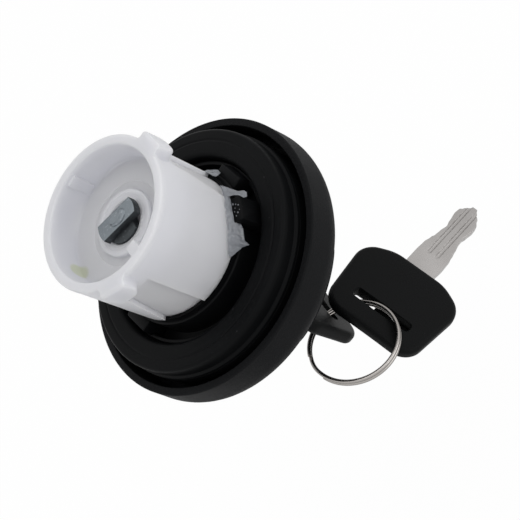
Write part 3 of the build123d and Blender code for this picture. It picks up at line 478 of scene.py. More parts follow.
# ---------------------------------------------------------------- finishes
@dataclass(frozen=True)
class Finish:
    """A surface: its colours, gloss, grain and dust, with painted highlights on the grain and
    painted shade on turned-away edges.

    Attributes:
        name: the material's name.
        base: linear colour.
        worn_and_highlight: linear colour of the paler patches and dust specks, and of the painted
            highlight on the grain's high points.
        rough: lowest and highest roughness.
        metallic: 1 for bare metal.
        grain_scale: how fine the grain is.
        grain_depth: height of the grain in metres.
        tip_level: height above which a grain tip gets its painted highlight.
        tip_highlights: how strongly the painted highlight on the grain's high points shows.
        patch: how strongly the patches show.
        specks: how strongly dust specks show.
        specular: the specular level.
        subsurface: share of light that enters the surface.
        transmission: share of light that passes through.
        painted_edge_shade: how far the colour falls where the surface turns away from the camera;
            painted shade.
        spot_at: the middle of a tinted spot, in metres.
        spot_size: the spot's radius in metres.
        spot_share: how strongly the spot shows.
        spot_tint: linear colour of the spot.
        painted_edge_shade_tint: linear colour of the painted shade that a turned-away surface falls
            to.
        scatter: how far light goes inside the surface, in metres.
    """

    name: str
    base: Point3
    worn_and_highlight: Point3
    rough: Point2 = (0.4, 0.55)
    metallic: float = 0.0
    grain_scale: float = 2600.0
    grain_depth: float = 0.00003
    tip_level: float = 0.66
    tip_highlights: float = 0.25
    patch: float = 0.3
    specks: float = 0.5
    specular: float = 0.5
    subsurface: float = 0.0
    transmission: float = 0.0
    painted_edge_shade: float = 0.0
    spot_at: Point3 = (0.0, 0.0, 0.0)
    spot_size: float = 0.001
    spot_share: float = 0.0
    spot_tint: Point3 = (0.56, 0.60, 0.36)
    painted_edge_shade_tint: Point3 = (0.01, 0.01, 0.01)
    scatter: float = 0.006

    def material(self, groups: dict[str, bpy.types.ShaderNodeTree]) -> bpy.types.Material:
        """Builds the material.

        Args:
            groups: the shared shader groups by name.

        Returns:
            The material.
        """
        material = bpy.data.materials.new(self.name)
        material.use_nodes = True
        tree = material.node_tree
        shader = tree.nodes["Principled BSDF"]
        constants = {
            "Metallic": self.metallic, "Specular IOR Level": self.specular,
            "Subsurface Weight": self.subsurface, "Subsurface Radius": (1.0, 1.0, 1.0),
            "Subsurface Scale": self.scatter, "Transmission Weight": self.transmission,
        }
        for socket, value in constants.items():
            shader.inputs[socket].default_value = value
        grain = add_node(tree, "ShaderNodeGroup", {
            "Grain Scale": self.grain_scale, "Tip Level": self.tip_level},
            node_tree=groups["grain"])
        handling = add_node(tree, "ShaderNodeGroup", node_tree=groups["handling"])
        gloss = add_node(tree, "ShaderNodeMapRange", {
            "Value": handling.outputs["Patches"], "From Min": 0.3, "From Max": 0.7,
            "To Min": self.rough[0], "To Max": self.rough[1]})
        bump = add_node(tree, "ShaderNodeBump", {
            "Height": grain.outputs["Height"], "Strength": 1.0, "Distance": self.grain_depth})
        colour = self.colour(tree, groups, self.wear_and_highlight(tree, grain, handling))
        tree.links.new(colour, shader.inputs["Base Color"])
        tree.links.new(gloss.outputs[0], shader.inputs["Roughness"])
        tree.links.new(bump.outputs[0], shader.inputs["Normal"])
        return material

    def wear_and_highlight(self, tree: bpy.types.ShaderNodeTree, grain: bpy.types.Node,
             handling: bpy.types.Node) -> bpy.types.NodeSocket:
        """How much of the worn_and_highlight colour shows: the most of the painted tip highlights,
        dust specks and patches.
        """
        patches = add_node(tree, "ShaderNodeMapRange", {
            "Value": handling.outputs["Patches"], "From Min": 0.35, "From Max": 0.75,
            "To Max": self.patch})
        # paler colour on the grain's high points: painted highlight
        tip_highlights = math_node(tree, "MULTIPLY", grain.outputs["Tip Highlights"], self.tip_highlights)
        specks = math_node(tree, "MULTIPLY", handling.outputs["Specks"], self.specks)
        return math_node(tree, "MAXIMUM", math_node(tree, "MAXIMUM", tip_highlights, specks),
                         patches.outputs[0])

    def colour(self, tree: bpy.types.ShaderNodeTree, groups: dict[str, bpy.types.ShaderNodeTree],
               wear_and_highlight: bpy.types.NodeSocket) -> bpy.types.NodeSocket:
        """The base colour with its paler patches, dust specks and painted tip highlights, its spot,
        and painted shade where the surface turns away from the camera.
        """
        spot = add_node(tree, "ShaderNodeGroup", {
            "Spot X": self.spot_at[0], "Spot Y": self.spot_at[1], "Spot Z": self.spot_at[2],
            "Spot Size": self.spot_size}, node_tree=groups["spot"])
        spotted = math_node(tree, "MULTIPLY", spot.outputs["Mask"], self.spot_share)
        # the colour falls toward near-black where the surface turns away from the camera: painted
        # shade
        turned = add_node(tree, "ShaderNodeLayerWeight", {"Blend": 0.5})
        painted_shade = math_node(tree, "MULTIPLY", turned.outputs["Facing"], self.painted_edge_shade)
        layers = ((wear_and_highlight, self.worn_and_highlight), (spotted, self.spot_tint), (painted_shade, self.painted_edge_shade_tint))
        result: object = (*self.base, 1)
        for share, over in layers:
            mix = add_node(tree, "ShaderNodeMix", {"Factor": share, "A": result, "B": (*over, 1)},
                           data_type="RGBA")
            result = mix.outputs["Result"]
        return result


class Finishes(Enum):
    """Every finish on the cap."""

    COVER = Finish("cover_grain", (0.005, 0.0053, 0.006), (0.03, 0.032, 0.034), (0.55, 0.65),
                   grain_scale=3200.0, grain_depth=0.00009, tip_level=0.69, tip_highlights=0.3, patch=0.04,
                   specks=0.5, specular=0.08)
    HUB = Finish("hub_smooth", (0.003, 0.0032, 0.0036), (0.03, 0.032, 0.034), (0.36, 0.5),
                 grain_scale=1500.0, grain_depth=0.00001, tip_highlights=0.05, patch=0.04, specks=0.8,
                 specular=0.07)
    GASKET = Finish("gasket_rubber", (0.003, 0.0033, 0.0037), (0.05, 0.052, 0.055), (0.42, 0.55),
                    grain_scale=1800.0, grain_depth=0.000012, tip_highlights=0.03, patch=0.03, specks=0.9,
                    specular=0.06)
    SLEEVE = Finish("sleeve_acetal", (0.71, 0.714, 0.75), (0.75, 0.753, 0.785), (0.36, 0.46),
                    grain_scale=700.0, grain_depth=0.000003, tip_highlights=0.0, patch=0.5, specks=0.0,
                    specular=0.3, subsurface=1.0, spot_at=(-0.0172, 0.0079, 0.0252),
                    spot_size=0.0031, spot_share=0.55)
    ZINC = Finish("zinc_cast", (0.18, 0.205, 0.225), (0.46, 0.49, 0.51), (0.3, 0.55), metallic=0.85,
                  grain_scale=1100.0, grain_depth=0.00014, tip_level=0.6, tip_highlights=0.3, patch=0.45,
                  specks=0.0)
    # a dim copy of the cast zinc for the bar's sides and the step: painted shade
    ZINC_PAINTED_SHADE = Finish("zinc_side", (0.055, 0.062, 0.066), (0.2, 0.215, 0.22), (0.45, 0.65),
                       metallic=0.8, grain_scale=1500.0, grain_depth=0.00007, tip_level=0.62,
                       tip_highlights=0.25, patch=0.2, specks=0.0)
    SPRING = Finish("spring_steel", (0.45, 0.45, 0.46), (0.6, 0.6, 0.6), (0.3, 0.4), metallic=1.0,
                    grain_scale=900.0, grain_depth=0.000004, specks=0.0)
    BRASS = Finish("wafer_brass", (0.62, 0.42, 0.17), (0.8, 0.62, 0.33), (0.28, 0.4), metallic=1.0,
                   grain_scale=900.0, grain_depth=0.000004, specks=0.0)
    KEY_HEAD = Finish("key_moulding", (0.0045, 0.0048, 0.005), (0.03, 0.032, 0.034), (0.44, 0.55),
                      grain_scale=2200.0, grain_depth=0.00003, tip_level=0.7, tip_highlights=0.12, patch=0.04,
                      specks=0.4, specular=0.07)
    KEY_BLADE = Finish("key_steel", (0.37, 0.355, 0.345), (0.50, 0.485, 0.475), (0.3, 0.46),
                       metallic=0.85, grain_scale=1300.0, grain_depth=0.00002, tip_highlights=0.12, patch=0.7,
                       specks=0.0)
    # the wire's colour falls where it turns away from the camera: painted shade
    RING = Finish("ring_wire", (0.40, 0.375, 0.355), (0.6, 0.58, 0.56), (0.16, 0.26), metallic=1.0,
                  grain_scale=900.0, grain_depth=0.000004, tip_highlights=0.0, specks=0.0, painted_edge_shade=0.85)
    GREASE = Finish("clear_grease", (0.36, 0.385, 0.43), (0.6, 0.61, 0.63), (0.12, 0.24),
                    grain_scale=500.0, grain_depth=0.00002, tip_highlights=0.0, patch=0.4, specks=0.0,
                    transmission=0.6)
    BEZEL = Finish("bezel_satin", (0.02, 0.02, 0.021), (0.07, 0.07, 0.075), (0.3, 0.42),
                   grain_scale=1800.0, grain_depth=0.00001, specks=0.3)


@dataclass
class Dresser:
    """Makes each finish once and puts it on pieces."""

    groups: dict[str, bpy.types.ShaderNodeTree] = field(default_factory=dict)
    made: dict[Finishes, bpy.types.Material] = field(default_factory=dict)

    def __post_init__(self) -> None:
        """Builds the shared groups."""
        self.groups = {"grain": grain_group(), "handling": handling_group(), "spot": spot_group()}

    def get(self, finish: Finishes) -> bpy.types.Material:
        """The finish's material, made on first use."""
        if finish not in self.made:
            self.made[finish] = finish.value.material(self.groups)
        return self.made[finish]

    def dress(self, piece: bpy.types.Object, finish: Finishes) -> None:
        """Puts one finish all over a piece."""
        piece.data.materials.clear()
        piece.data.materials.append(self.get(finish))

    def dress_sides_painted_shade(self, piece: bpy.types.Object, finish: Finishes, upright: float = 0.5) -> None:
        """Puts a second finish on the faces that don't look along the axis: a shaded copy of the
        first, for painted shade on the sides.
        """
        piece.data.materials.append(self.get(finish))
        for face in piece.data.polygons:
            face.material_index = 1 if face.normal.z < upright else 0

    def dress_node(self, node: str, finish: Finishes) -> None:
        """Puts a finish on a CAD node's slots, with its mesh as it is."""
        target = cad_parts[node]
        for slot in target.material_slots:
            slot.link = "OBJECT"
            slot.material = self.get(finish)


def settle(piece: bpy.types.Object, body: Body, replaces: Sequence[str] = ()) -> None:
    """Puts a finished piece on its body.

    Args:
        piece: the piece.
        body: the body it moves with.
        replaces: the CAD nodes it stands for.
    """
    if replaces:
        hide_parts(*replaces)
    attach(piece, body.value)
    LOG.info("%s: %d faces on %s", piece.name, len(piece.data.polygons), body.value)


# ---------------------------------------------------------------- sleeve
@dataclass
class BayonetSleeve:
    """The white sleeve with its cup, boss, three lugs and lead-in recesses."""

    root_z: float = 3.0
    mouth_z: float = 33.0
    root_r: float = 21.3
    mouth_r: float = 21.9
    cup_mouth_r: float = 19.15
    cup_floor_r: float = 18.56
    floor_z: float = 23.4
    under_z: float = 21.8
    skirt_r: float = 18.4
    boss_r: float = 9.43
    boss_bore_r: float = 6.2
    boss_top_z: float = 24.5
    boss_foot_z: float = 19.2
    ledge_z: float = 22.3
    ledge_bore_r: float = 3.3
    lug_r: float = 24.5
    lug_azimuth: float = -16.5
    lug_half_deg: float = 10.3
    lug_foot_z: float = 26.0
    short_lug_top_z: float = 30.0
    recess_depth: float = 1.2
    recess_top_z: float = 25.0
    recess_top_deg: float = 27.0
    recess_root_deg: float = 40.0
    recess_azimuth: float = 0.0
    stop_azimuth: float = -108.5
    stop_tip_r: float = 14.05
    stop_top_z: float = 31.2
    stop_w: float = 3.5
    rib_azimuth: float = 76.0
    rib_rise: float = 0.35
    rib_w: float = 3.3
    block_root_r: float = 19.8
    block_edge: float = 0.3
    hole_azimuth: float = -168.0
    hole_at_r: float = 5.2
    hole_r: float = 0.5
    dot_off_deg: float = 1.9
    dot_below_mouth: float = 2.0
    dot_r: float = 0.4
    dot_depth: float = 0.09

    def shell(self) -> bpy.types.Object:
        """The turned body: skirt, cup, floor and boss."""
        lip = 0.1
        return lathe("sleeve_shell", [
            (self.skirt_r, self.root_z, 0.2),
            (self.root_r, self.root_z, 0.35),
            (self.mouth_r - lip, self.mouth_z - 1.9, 0.1),
            (self.mouth_r, self.mouth_z - 1.7, 0.1),
            (self.mouth_r, self.mouth_z, 0.6),
            (self.cup_mouth_r, self.mouth_z, 0.6),
            (self.cup_floor_r, self.floor_z, 0.9),
            (self.boss_r + 2.6, self.floor_z, 0.1),
            (self.boss_r + 2.4, self.floor_z - 0.2, 0.1),
            (self.boss_r, self.floor_z - 0.2, 0.25),
            (self.boss_r, self.boss_top_z, 0.45),
            (self.boss_r - 1.1, self.boss_top_z, 0.0),
            (self.boss_r - 1.2, self.boss_top_z - 0.1, 0.0),
            (self.boss_r - 1.9, self.boss_top_z - 0.1, 0.0),
            (self.boss_r - 2.0, self.boss_top_z, 0.0),
            (self.boss_bore_r, self.boss_top_z, 0.3),
            (self.boss_bore_r, self.ledge_z, 0.3),
            (self.ledge_bore_r, self.ledge_z, 0.15),
            (self.ledge_bore_r, self.boss_foot_z, 0.2),
            (self.boss_r, self.boss_foot_z, 0.2),
            (self.boss_r, self.under_z, 0.3),
            (self.skirt_r, self.under_z, 0.5),
        ], segments=300)

    def lug(self, azimuth: float, high: float) -> bpy.types.Object:
        """One bayonet lug: a rounded tongue that flares softly into the wall.

        Args:
            azimuth: where its middle stands, in degrees.
            high: height of its upper end.

        Returns:
            The lug.
        """
        half = math.radians(self.lug_half_deg) * self.lug_r
        low, top = self.lug_foot_z, high - 0.02
        corner, top_edge = min(3.0, (high - low) * 0.45), 0.3
        outline = rounded_outline([(-half, low, corner), (half, low, corner),
                                   (half, top, top_edge), (-half, top, top_edge)], 10)
        middle = (low + high) / 2
        flare = [(self.mouth_r + step, grow) for step, grow in (
            (-1.2, 1.15), (-0.05, 1.15), (0.1, 0.75), (0.35, 0.42), (0.75, 0.18), (1.2, 0.05))]
        rounding = [(self.lug_r - step, grow) for step, grow in (
            (0.85, 0.0), (0.45, -0.1), (0.2, -0.28), (0.05, -0.55), (0.0, -0.9))]
        rings: list[Ring] = []
        for radius, grow in flare + rounding:
            ring: Ring = []
            for along, z in outline:
                along_in = along * (half + grow) / half
                shrink = min(grow, 0.0)
                z_in = middle + (z - middle) * ((high - low) / 2 + shrink) / ((high - low) / 2)
                ring.append(polar(radius, azimuth + math.degrees(along_in / self.lug_r), z_in))
            rings.append(ring)
        return skin_rings("sleeve_lug", rings)

    def gate_dot(self) -> bpy.types.Object:
        """The cutter of the small round scar where the moulding was fed, on one lug."""
        azimuth = self.lug_azimuth + self.dot_off_deg
        centre = polar(self.lug_r, azimuth, self.mouth_z - self.dot_below_mouth)
        outward, along = polar(1, azimuth, 0), polar(1, azimuth + 90, 0)
        rings = [circle(centre + outward * lift, along, Vector((0, 0, 1)), radius, 20)
                 for lift, radius in ((-self.dot_depth, self.dot_r), (0.5, self.dot_r + 0.1))]
        return skin_rings("gate_dot", rings)

    def ledge_hole(self) -> bpy.types.Object:
        """The cutter of the small hole through the ledge."""
        rings = [circle(polar(self.hole_at_r, self.hole_azimuth, height), Vector((1, 0, 0)),
                        Vector((0, 1, 0)), self.hole_r, 24)
                 for height in (self.boss_foot_z - 1.0, self.ledge_z + 1.0)]
        return skin_rings("ledge_hole", rings)

    def recess_cutter(self) -> bpy.types.Object:
        """The wedge that is cut from the wall beside one lug."""
        start = self.recess_azimuth
        inner, outer = self.root_r - self.recess_depth, self.mouth_r + 2.0
        foot, steps = self.root_z - 1.0, 28
        taper = (self.recess_root_deg - self.recess_top_deg) / (self.recess_top_z - self.root_z)
        root_span = self.recess_root_deg + taper
        rings: list[Ring] = []
        for step in range(steps + 1):
            share = step / steps
            low = start - root_span * share
            high = start - self.recess_top_deg * share
            rings.append([polar(inner, low, foot), polar(inner, high, self.recess_top_z),
                          polar(outer, high, self.recess_top_z), polar(outer, low, foot)])
        return skin_rings("recess_cutter", rings)

    def build(self, dresser: Dresser, copies: bpy.types.GeometryNodeTree) -> None:
        """Builds, dresses and places the sleeve."""
        third = math.radians(-120.0)
        white = dresser.get(Finishes.SLEEVE)
        cutters = run_tree(self.recess_cutter(), copies,
                           {"Count": 3, "Spacing": third, "Material": white})
        shell = combine(self.shell(), cutters, "DIFFERENCE")
        pair = {"Count": 2, "Spacing": third, "Material": white}
        lugs = run_tree(self.lug(self.lug_azimuth, self.mouth_z), copies, pair)
        dots = run_tree(self.gate_dot(), copies, pair)
        short = self.lug(self.lug_azimuth + 120.0, self.short_lug_top_z)
        foot = self.floor_z - 0.3
        stop = rounded_block("stop", self.stop_azimuth, (self.stop_tip_r, self.block_root_r),
                             self.stop_w, (foot, self.stop_top_z), self.block_edge)
        rib = rounded_block("rib", self.rib_azimuth,
                            (self.cup_floor_r - self.rib_rise, self.block_root_r), self.rib_w,
                            (foot, self.mouth_z - 1.2), self.block_edge)
        combine(shell, self.ledge_hole(), "DIFFERENCE")
        for part in (lugs, short, stop, rib):
            combine(shell, part, "UNION")
        combine(shell, dots, "DIFFERENCE")
        piece = merged("bayonet_sleeve", [shell])
        dresser.dress(piece, Finishes.SLEEVE)
        settle(piece, Body.SLEEVE, ["sleeve"])


# ---------------------------------------------------------------- cover side
@dataclass
class GripCover:
    """The grained outer cover: a shallow cup with a raised grip bar across its front."""

    rim_r: float = 40.0
    bore_r: float = 37.7
    rim_z: float = -6.0
    plate_z: float = -20.0
    floor_z: float = -17.5
    shoulder: float = 8.0
    bar_azimuth: float = 95.0
    bar_half_w: float = 16.0
    bar_top_z: float = -33.5
    bar_top_r: float = 23.0
    bar_foot_r: float = 36.5
    bar_edge: float = 2.4
    lock_bore_r: float = 11.15

    def cup(self) -> bpy.types.Object:
        """The turned cup."""
        return lathe("cover_cup", [
            (self.lock_bore_r, self.plate_z, 0.0),
            (self.rim_r, self.plate_z, self.shoulder),
            (self.rim_r, self.rim_z, 0.5),
            (self.bore_r, self.rim_z, 0.35),
            (self.bore_r, self.floor_z, 2.2),
            (self.lock_bore_r, self.floor_z, 0.0),
        ], segments=300, steps=14)

    def bar_ring(self, height: float, inset: float = 0.0, count: int = 200) -> Ring:
        """The bar's outline at a height, drawn in by inset."""
        share = (height - self.bar_top_z) / (self.plate_z - self.bar_top_z)
        reach = self.bar_top_r + share * (self.bar_foot_r - self.bar_top_r)
        reach = min(reach, self.bar_foot_r) - inset
        half = self.bar_half_w - inset
        power = 14  # of the curve that joins the bar's sides to its ends
        ring: Ring = []
        for step in range(count):
            turn = 2 * math.pi * step / count
            along, across = abs(math.cos(turn)), abs(math.sin(turn))
            radius = ((across / half) ** power + (1 / reach) ** power) ** (-1 / power)
            ring.append(polar(radius, self.bar_azimuth + math.degrees(turn), height))
        return ring

    def bore_ring(self, height: float, radius: float, count: int = 200) -> Ring:
        """A circle round the lock at a height."""
        return [polar(radius, self.bar_azimuth + 360 * step / count, height)
                for step in range(count)]

    def bar(self) -> bpy.types.Object:
        """The grip bar, with soft edges and the hole for the lock."""
        edge, foot, steps = self.bar_edge, self.floor_z - 0.5, 6
        rings = [self.bore_ring(foot, self.lock_bore_r), self.bar_ring(foot, 1.0)]
        rings += [self.bar_ring(self.plate_z + lift) for lift in (1.6, 0.6, 0.0, -3.0, -6.0, -9.0)]
        for step in range(steps + 1):
            turn = math.pi / 2 * step / steps
            height = self.bar_top_z + edge * (1 - math.sin(turn))
            rings.append(self.bar_ring(height, edge * (1 - math.cos(turn))))
        rings.append(self.bore_ring(self.bar_top_z, self.bar_half_w - edge - 0.6))
        rings.append(self.bore_ring(self.bar_top_z, self.lock_bore_r + 0.3))
        rings.append(self.bore_ring(self.bar_top_z + 0.3, self.lock_bore_r))
        return skin_rings("cover_bar", rings, closed=True)

    def build(self, dresser: Dresser) -> None:
        """Builds, dresses and places the cover."""
        piece = merged("grip_cover_shell", [self.cup(), self.bar()])
        dresser.dress(piece, Finishes.COVER)
        settle(piece, Body.COVER, ["grip_cover"])


@dataclass
class SealHub:
    """The black hub under the gasket, with its four upright fingers.

    Attributes:
        fingers: azimuth, width and upper height of two fingers; the others stand opposite.
    """

    flange_r: float = 35.4
    flange_z: float = -6.5
    flange_foot_z: float = -9.0
    skirt_r: float = 35.0
    floor_z: float = -17.5
    hub_r: float = 22.0
    hub_z: float = 1.6
    snout_r: float = 18.1
    snout_bore_r: float = 16.0
    snout_top_z: float = 19.2
    bore_r: float = 11.15
    collar_r: float = 26.2
    fingers: tuple[Point3, ...] = ((-49.5, 7.2, 5.3), (-13.0, 9.0, 1.3))

    def turned(self) -> bpy.types.Object:
        """The turned hub."""
        return lathe("hub_turned", [
            (self.bore_r, self.floor_z, 0.0),
            (self.bore_r + 2.3, self.floor_z, 0.0),
            (self.bore_r + 2.3, self.flange_foot_z, 0.5),
            (self.skirt_r - 2.0, self.flange_foot_z, 0.5),
            (self.skirt_r - 2.0, self.floor_z, 0.0),
            (self.skirt_r, self.floor_z, 0.0),
            (self.skirt_r, self.flange_foot_z, 0.0),
            (self.flange_r, self.flange_foot_z, 0.0),
            (self.flange_r, self.flange_z, 0.1),
            (self.collar_r, self.flange_z, 0.0),
            (self.collar_r, self.flange_z + 4.0, 0.3),
            (self.collar_r - 1.2, self.flange_z + 4.0, 0.3),
            (self.collar_r - 1.2, self.flange_z, 0.3),
            (self.hub_r, self.flange_z, 0.4),
            (self.hub_r, self.hub_z, 0.5),
            (self.hub_r - 1.0, self.hub_z, 0.0),
            (self.snout_r, self.hub_z, 0.0),
            (self.snout_r, self.snout_top_z, 0.3),
            (self.snout_bore_r + 1.0, self.snout_top_z, 0.0),
            (self.snout_bore_r + 1.0, 7.2, 0.0),
            (self.snout_bore_r, 7.2, 0.0),
            (self.snout_bore_r, self.flange_z, 0.0),
            (self.bore_r, self.flange_z, 0.0),
        ], segments=240)

    def build(self, dresser: Dresser, copies: bpy.types.GeometryNodeTree) -> None:
        """Builds, dresses and places the hub."""
        pair = [rounded_block("finger", azimuth, (self.hub_r - 0.5, self.hub_r + 4.0), width,
                              (self.flange_z + 0.1, top), 0.45, lean=1.0)
                for azimuth, width, top in self.fingers]
        half_turn = {"Count": 2, "Spacing": math.pi, "Material": dresser.get(Finishes.HUB)}
        fingers = run_tree(merged("fingers", pair), copies, half_turn)
        piece = merged("seal_hub", [self.turned(), fingers])
        dresser.dress(piece, Finishes.HUB)
        settle(piece, Body.COVER, ["hub_body"])


@dataclass
class Gasket:
    """The thick rubber ring that seals on the neck."""

    outer_r: float = 34.9
    bore_r: float = 26.5
    lip_r: float = 35.4
    foot_z: float = -6.5
    line_r: float = 31.5

    def build(self, dresser: Dresser) -> None:
        """Builds, dresses and places the gasket."""
        piece = lathe("neck_gasket", [
            (self.bore_r, self.foot_z, 0.1),
            (self.lip_r, self.foot_z, 0.25),
            (self.lip_r, self.foot_z + 1.0, 0.35),
            (self.outer_r - 0.15, self.foot_z + 1.7, 0.3),
            (self.outer_r, -2.0, 0.2),
            (self.outer_r - 0.1, -0.1, 1.5),
            (self.line_r + 0.5, -0.05, 0.1),
            (self.line_r, -0.22, 0.1),
            (self.line_r - 0.5, 0.0, 0.1),
            (self.bore_r, 0.0, 1.6),
        ], segments=300, steps=6)
        dresser.dress(piece, Finishes.GASKET)
        settle(piece, Body.COVER, ["seal_gasket"])


@dataclass
class GreaseSmear:
    """Clear grease drawn out in thin films round one finger, beside the sleeve's root.

    Attributes:
        films: each film's stations, from an inner to an outer point, each of them a radius,
            azimuth and height.
        drops: radius, azimuth, height and size of the small drops on the finger.
        thickness: of a film's middle.
    """

    films: tuple[tuple[Station, ...], ...] = (
        (((21.2, -24.0, 5.6), (21.3, -37.0, 6.6)), ((22.3, -28.5, 5.2), (22.3, -38.5, 5.9)),
         ((23.5, -33.5, 4.9), (23.5, -39.0, 5.5)), ((24.9, -37.5, 4.8), (24.9, -41.0, 5.1)),
         ((26.4, -39.0, 4.3), (26.0, -44.0, 4.7)), ((27.0, -41.0, 4.1), (26.8, -44.0, 4.3))),
        (((21.2, -34.0, 6.6), (22.2, -36.5, 5.4)), ((21.2, -40.0, 7.2), (22.2, -42.5, 5.5)),
         ((21.2, -47.0, 7.7), (22.2, -49.5, 5.6)), ((21.2, -54.0, 7.6), (22.3, -56.0, 5.3)),
         ((21.2, -60.0, 7.2), (22.9, -60.0, 3.6))),
        (((21.2, -56.0, 7.5), (22.9, -58.0, 3.3)), ((21.2, -62.0, 7.1), (23.2, -62.0, 2.4)),
         ((21.2, -67.0, 6.8), (23.2, -66.0, 2.0)), ((21.2, -70.5, 6.4), (23.5, -69.3, 1.8)),
         ((21.2, -72.5, 6.2), (24.9, -71.8, 1.2)), ((21.2, -75.0, 5.9), (23.3, -74.0, 2.0)),
         ((21.2, -79.0, 5.0), (22.5, -78.5, 3.0)), ((21.2, -82.5, 4.2), (21.8, -82.2, 3.6))),
        (((21.3, 5.0, 4.2), (22.6, 3.0, 2.0)), ((21.3, 0.0, 4.3), (23.3, -4.0, 2.1)),
         ((21.3, -5.0, 4.4), (22.9, -8.0, 2.1)), ((21.3, -9.0, 4.4), (21.9, -10.0, 3.4))),
    )
    drops: tuple[tuple[float, float, float, float], ...] = (
        (22.5, -45.0, 5.3, 0.3), (23.4, -46.0, 5.3, 0.2), (23.0, -48.5, 5.3, 0.16),
        (24.2, -47.5, 5.3, 0.2), (22.7, -51.0, 5.3, 0.18), (23.8, -52.5, 5.3, 0.26),
        (23.2, -54.5, 5.3, 0.2), (24.4, -51.0, 5.3, 0.13), (24.9, -49.0, 4.6, 0.15))
    thickness: float = 0.42
    columns: int = 18
    steps: int = 7

    def film(self, stations: Sequence[Station]) -> bpy.types.Object:
        """One film, thin at its rim and uneven in the middle."""
        rings: list[Ring] = []
        total = (len(stations) - 1) * self.steps
        for row in range(total + 1):
            index = min(row // self.steps, len(stations) - 2)
            share = row / self.steps - index
            inner, outer = (polar(*Vector(start).lerp(Vector(end), share))
                            for start, end in zip(stations[index], stations[index + 1]))
            lift = Vector((inner.x, inner.y, 0.0)).normalized() * 0.6 + Vector((0, 0, 0.8))
            fade = max(0.12, min(1.0, row / 3, (total - row) / 3))
            front: Ring = []
            back: Ring = []
            for column in range(self.columns + 1):
                across = column / self.columns
                place = inner.lerp(outer, across)
                swell = 0.55 + 0.9 * abs(noise.noise(place * 0.9)) + 0.5 * noise.noise(place * 2.3)
                bulge = math.sin(math.pi * min(max(across, 0.04), 0.93))
                half = self.thickness / 2 * fade * max(0.15, swell * bulge)
                sag = lift * (0.35 * math.sin(math.pi * across) * noise.noise(place * 0.7))
                front.append(place + sag + lift * half)
                back.append(place + sag - lift * half)
            rings.append(front + back[::-1])
        return skin_rings("film", rings, sharp_deg=180)

    @staticmethod
    def drop(at: Point3, size: float) -> bpy.types.Object:
        """A small flattened drop."""
        work = bmesh.new()
        bmesh.ops.create_icosphere(work, subdivisions=2, radius=size)
        work.verts.index_update()
        centre = polar(*at)
        vertices = [centre + Vector((vertex.co.x, vertex.co.y * 1.3, vertex.co.z * 0.5))
                    for vertex in work.verts]
        faces = [[vertex.index for vertex in face.verts] for face in work.faces]
        work.free()
        return finish_mesh("drop", vertices, faces)

    def build(self, dresser: Dresser) -> None:
        """Builds, dresses and places the smear."""
        parts = [self.film(stations) for stations in self.films]
        parts += [self.drop(drop[:3], drop[3]) for drop in self.drops]
        piece = merged("grease_smear", parts)
        piece.data.set_sharp_from_angle(angle=math.pi)
        dresser.dress(piece, Finishes.GREASE)
        settle(piece, Body.COVER)


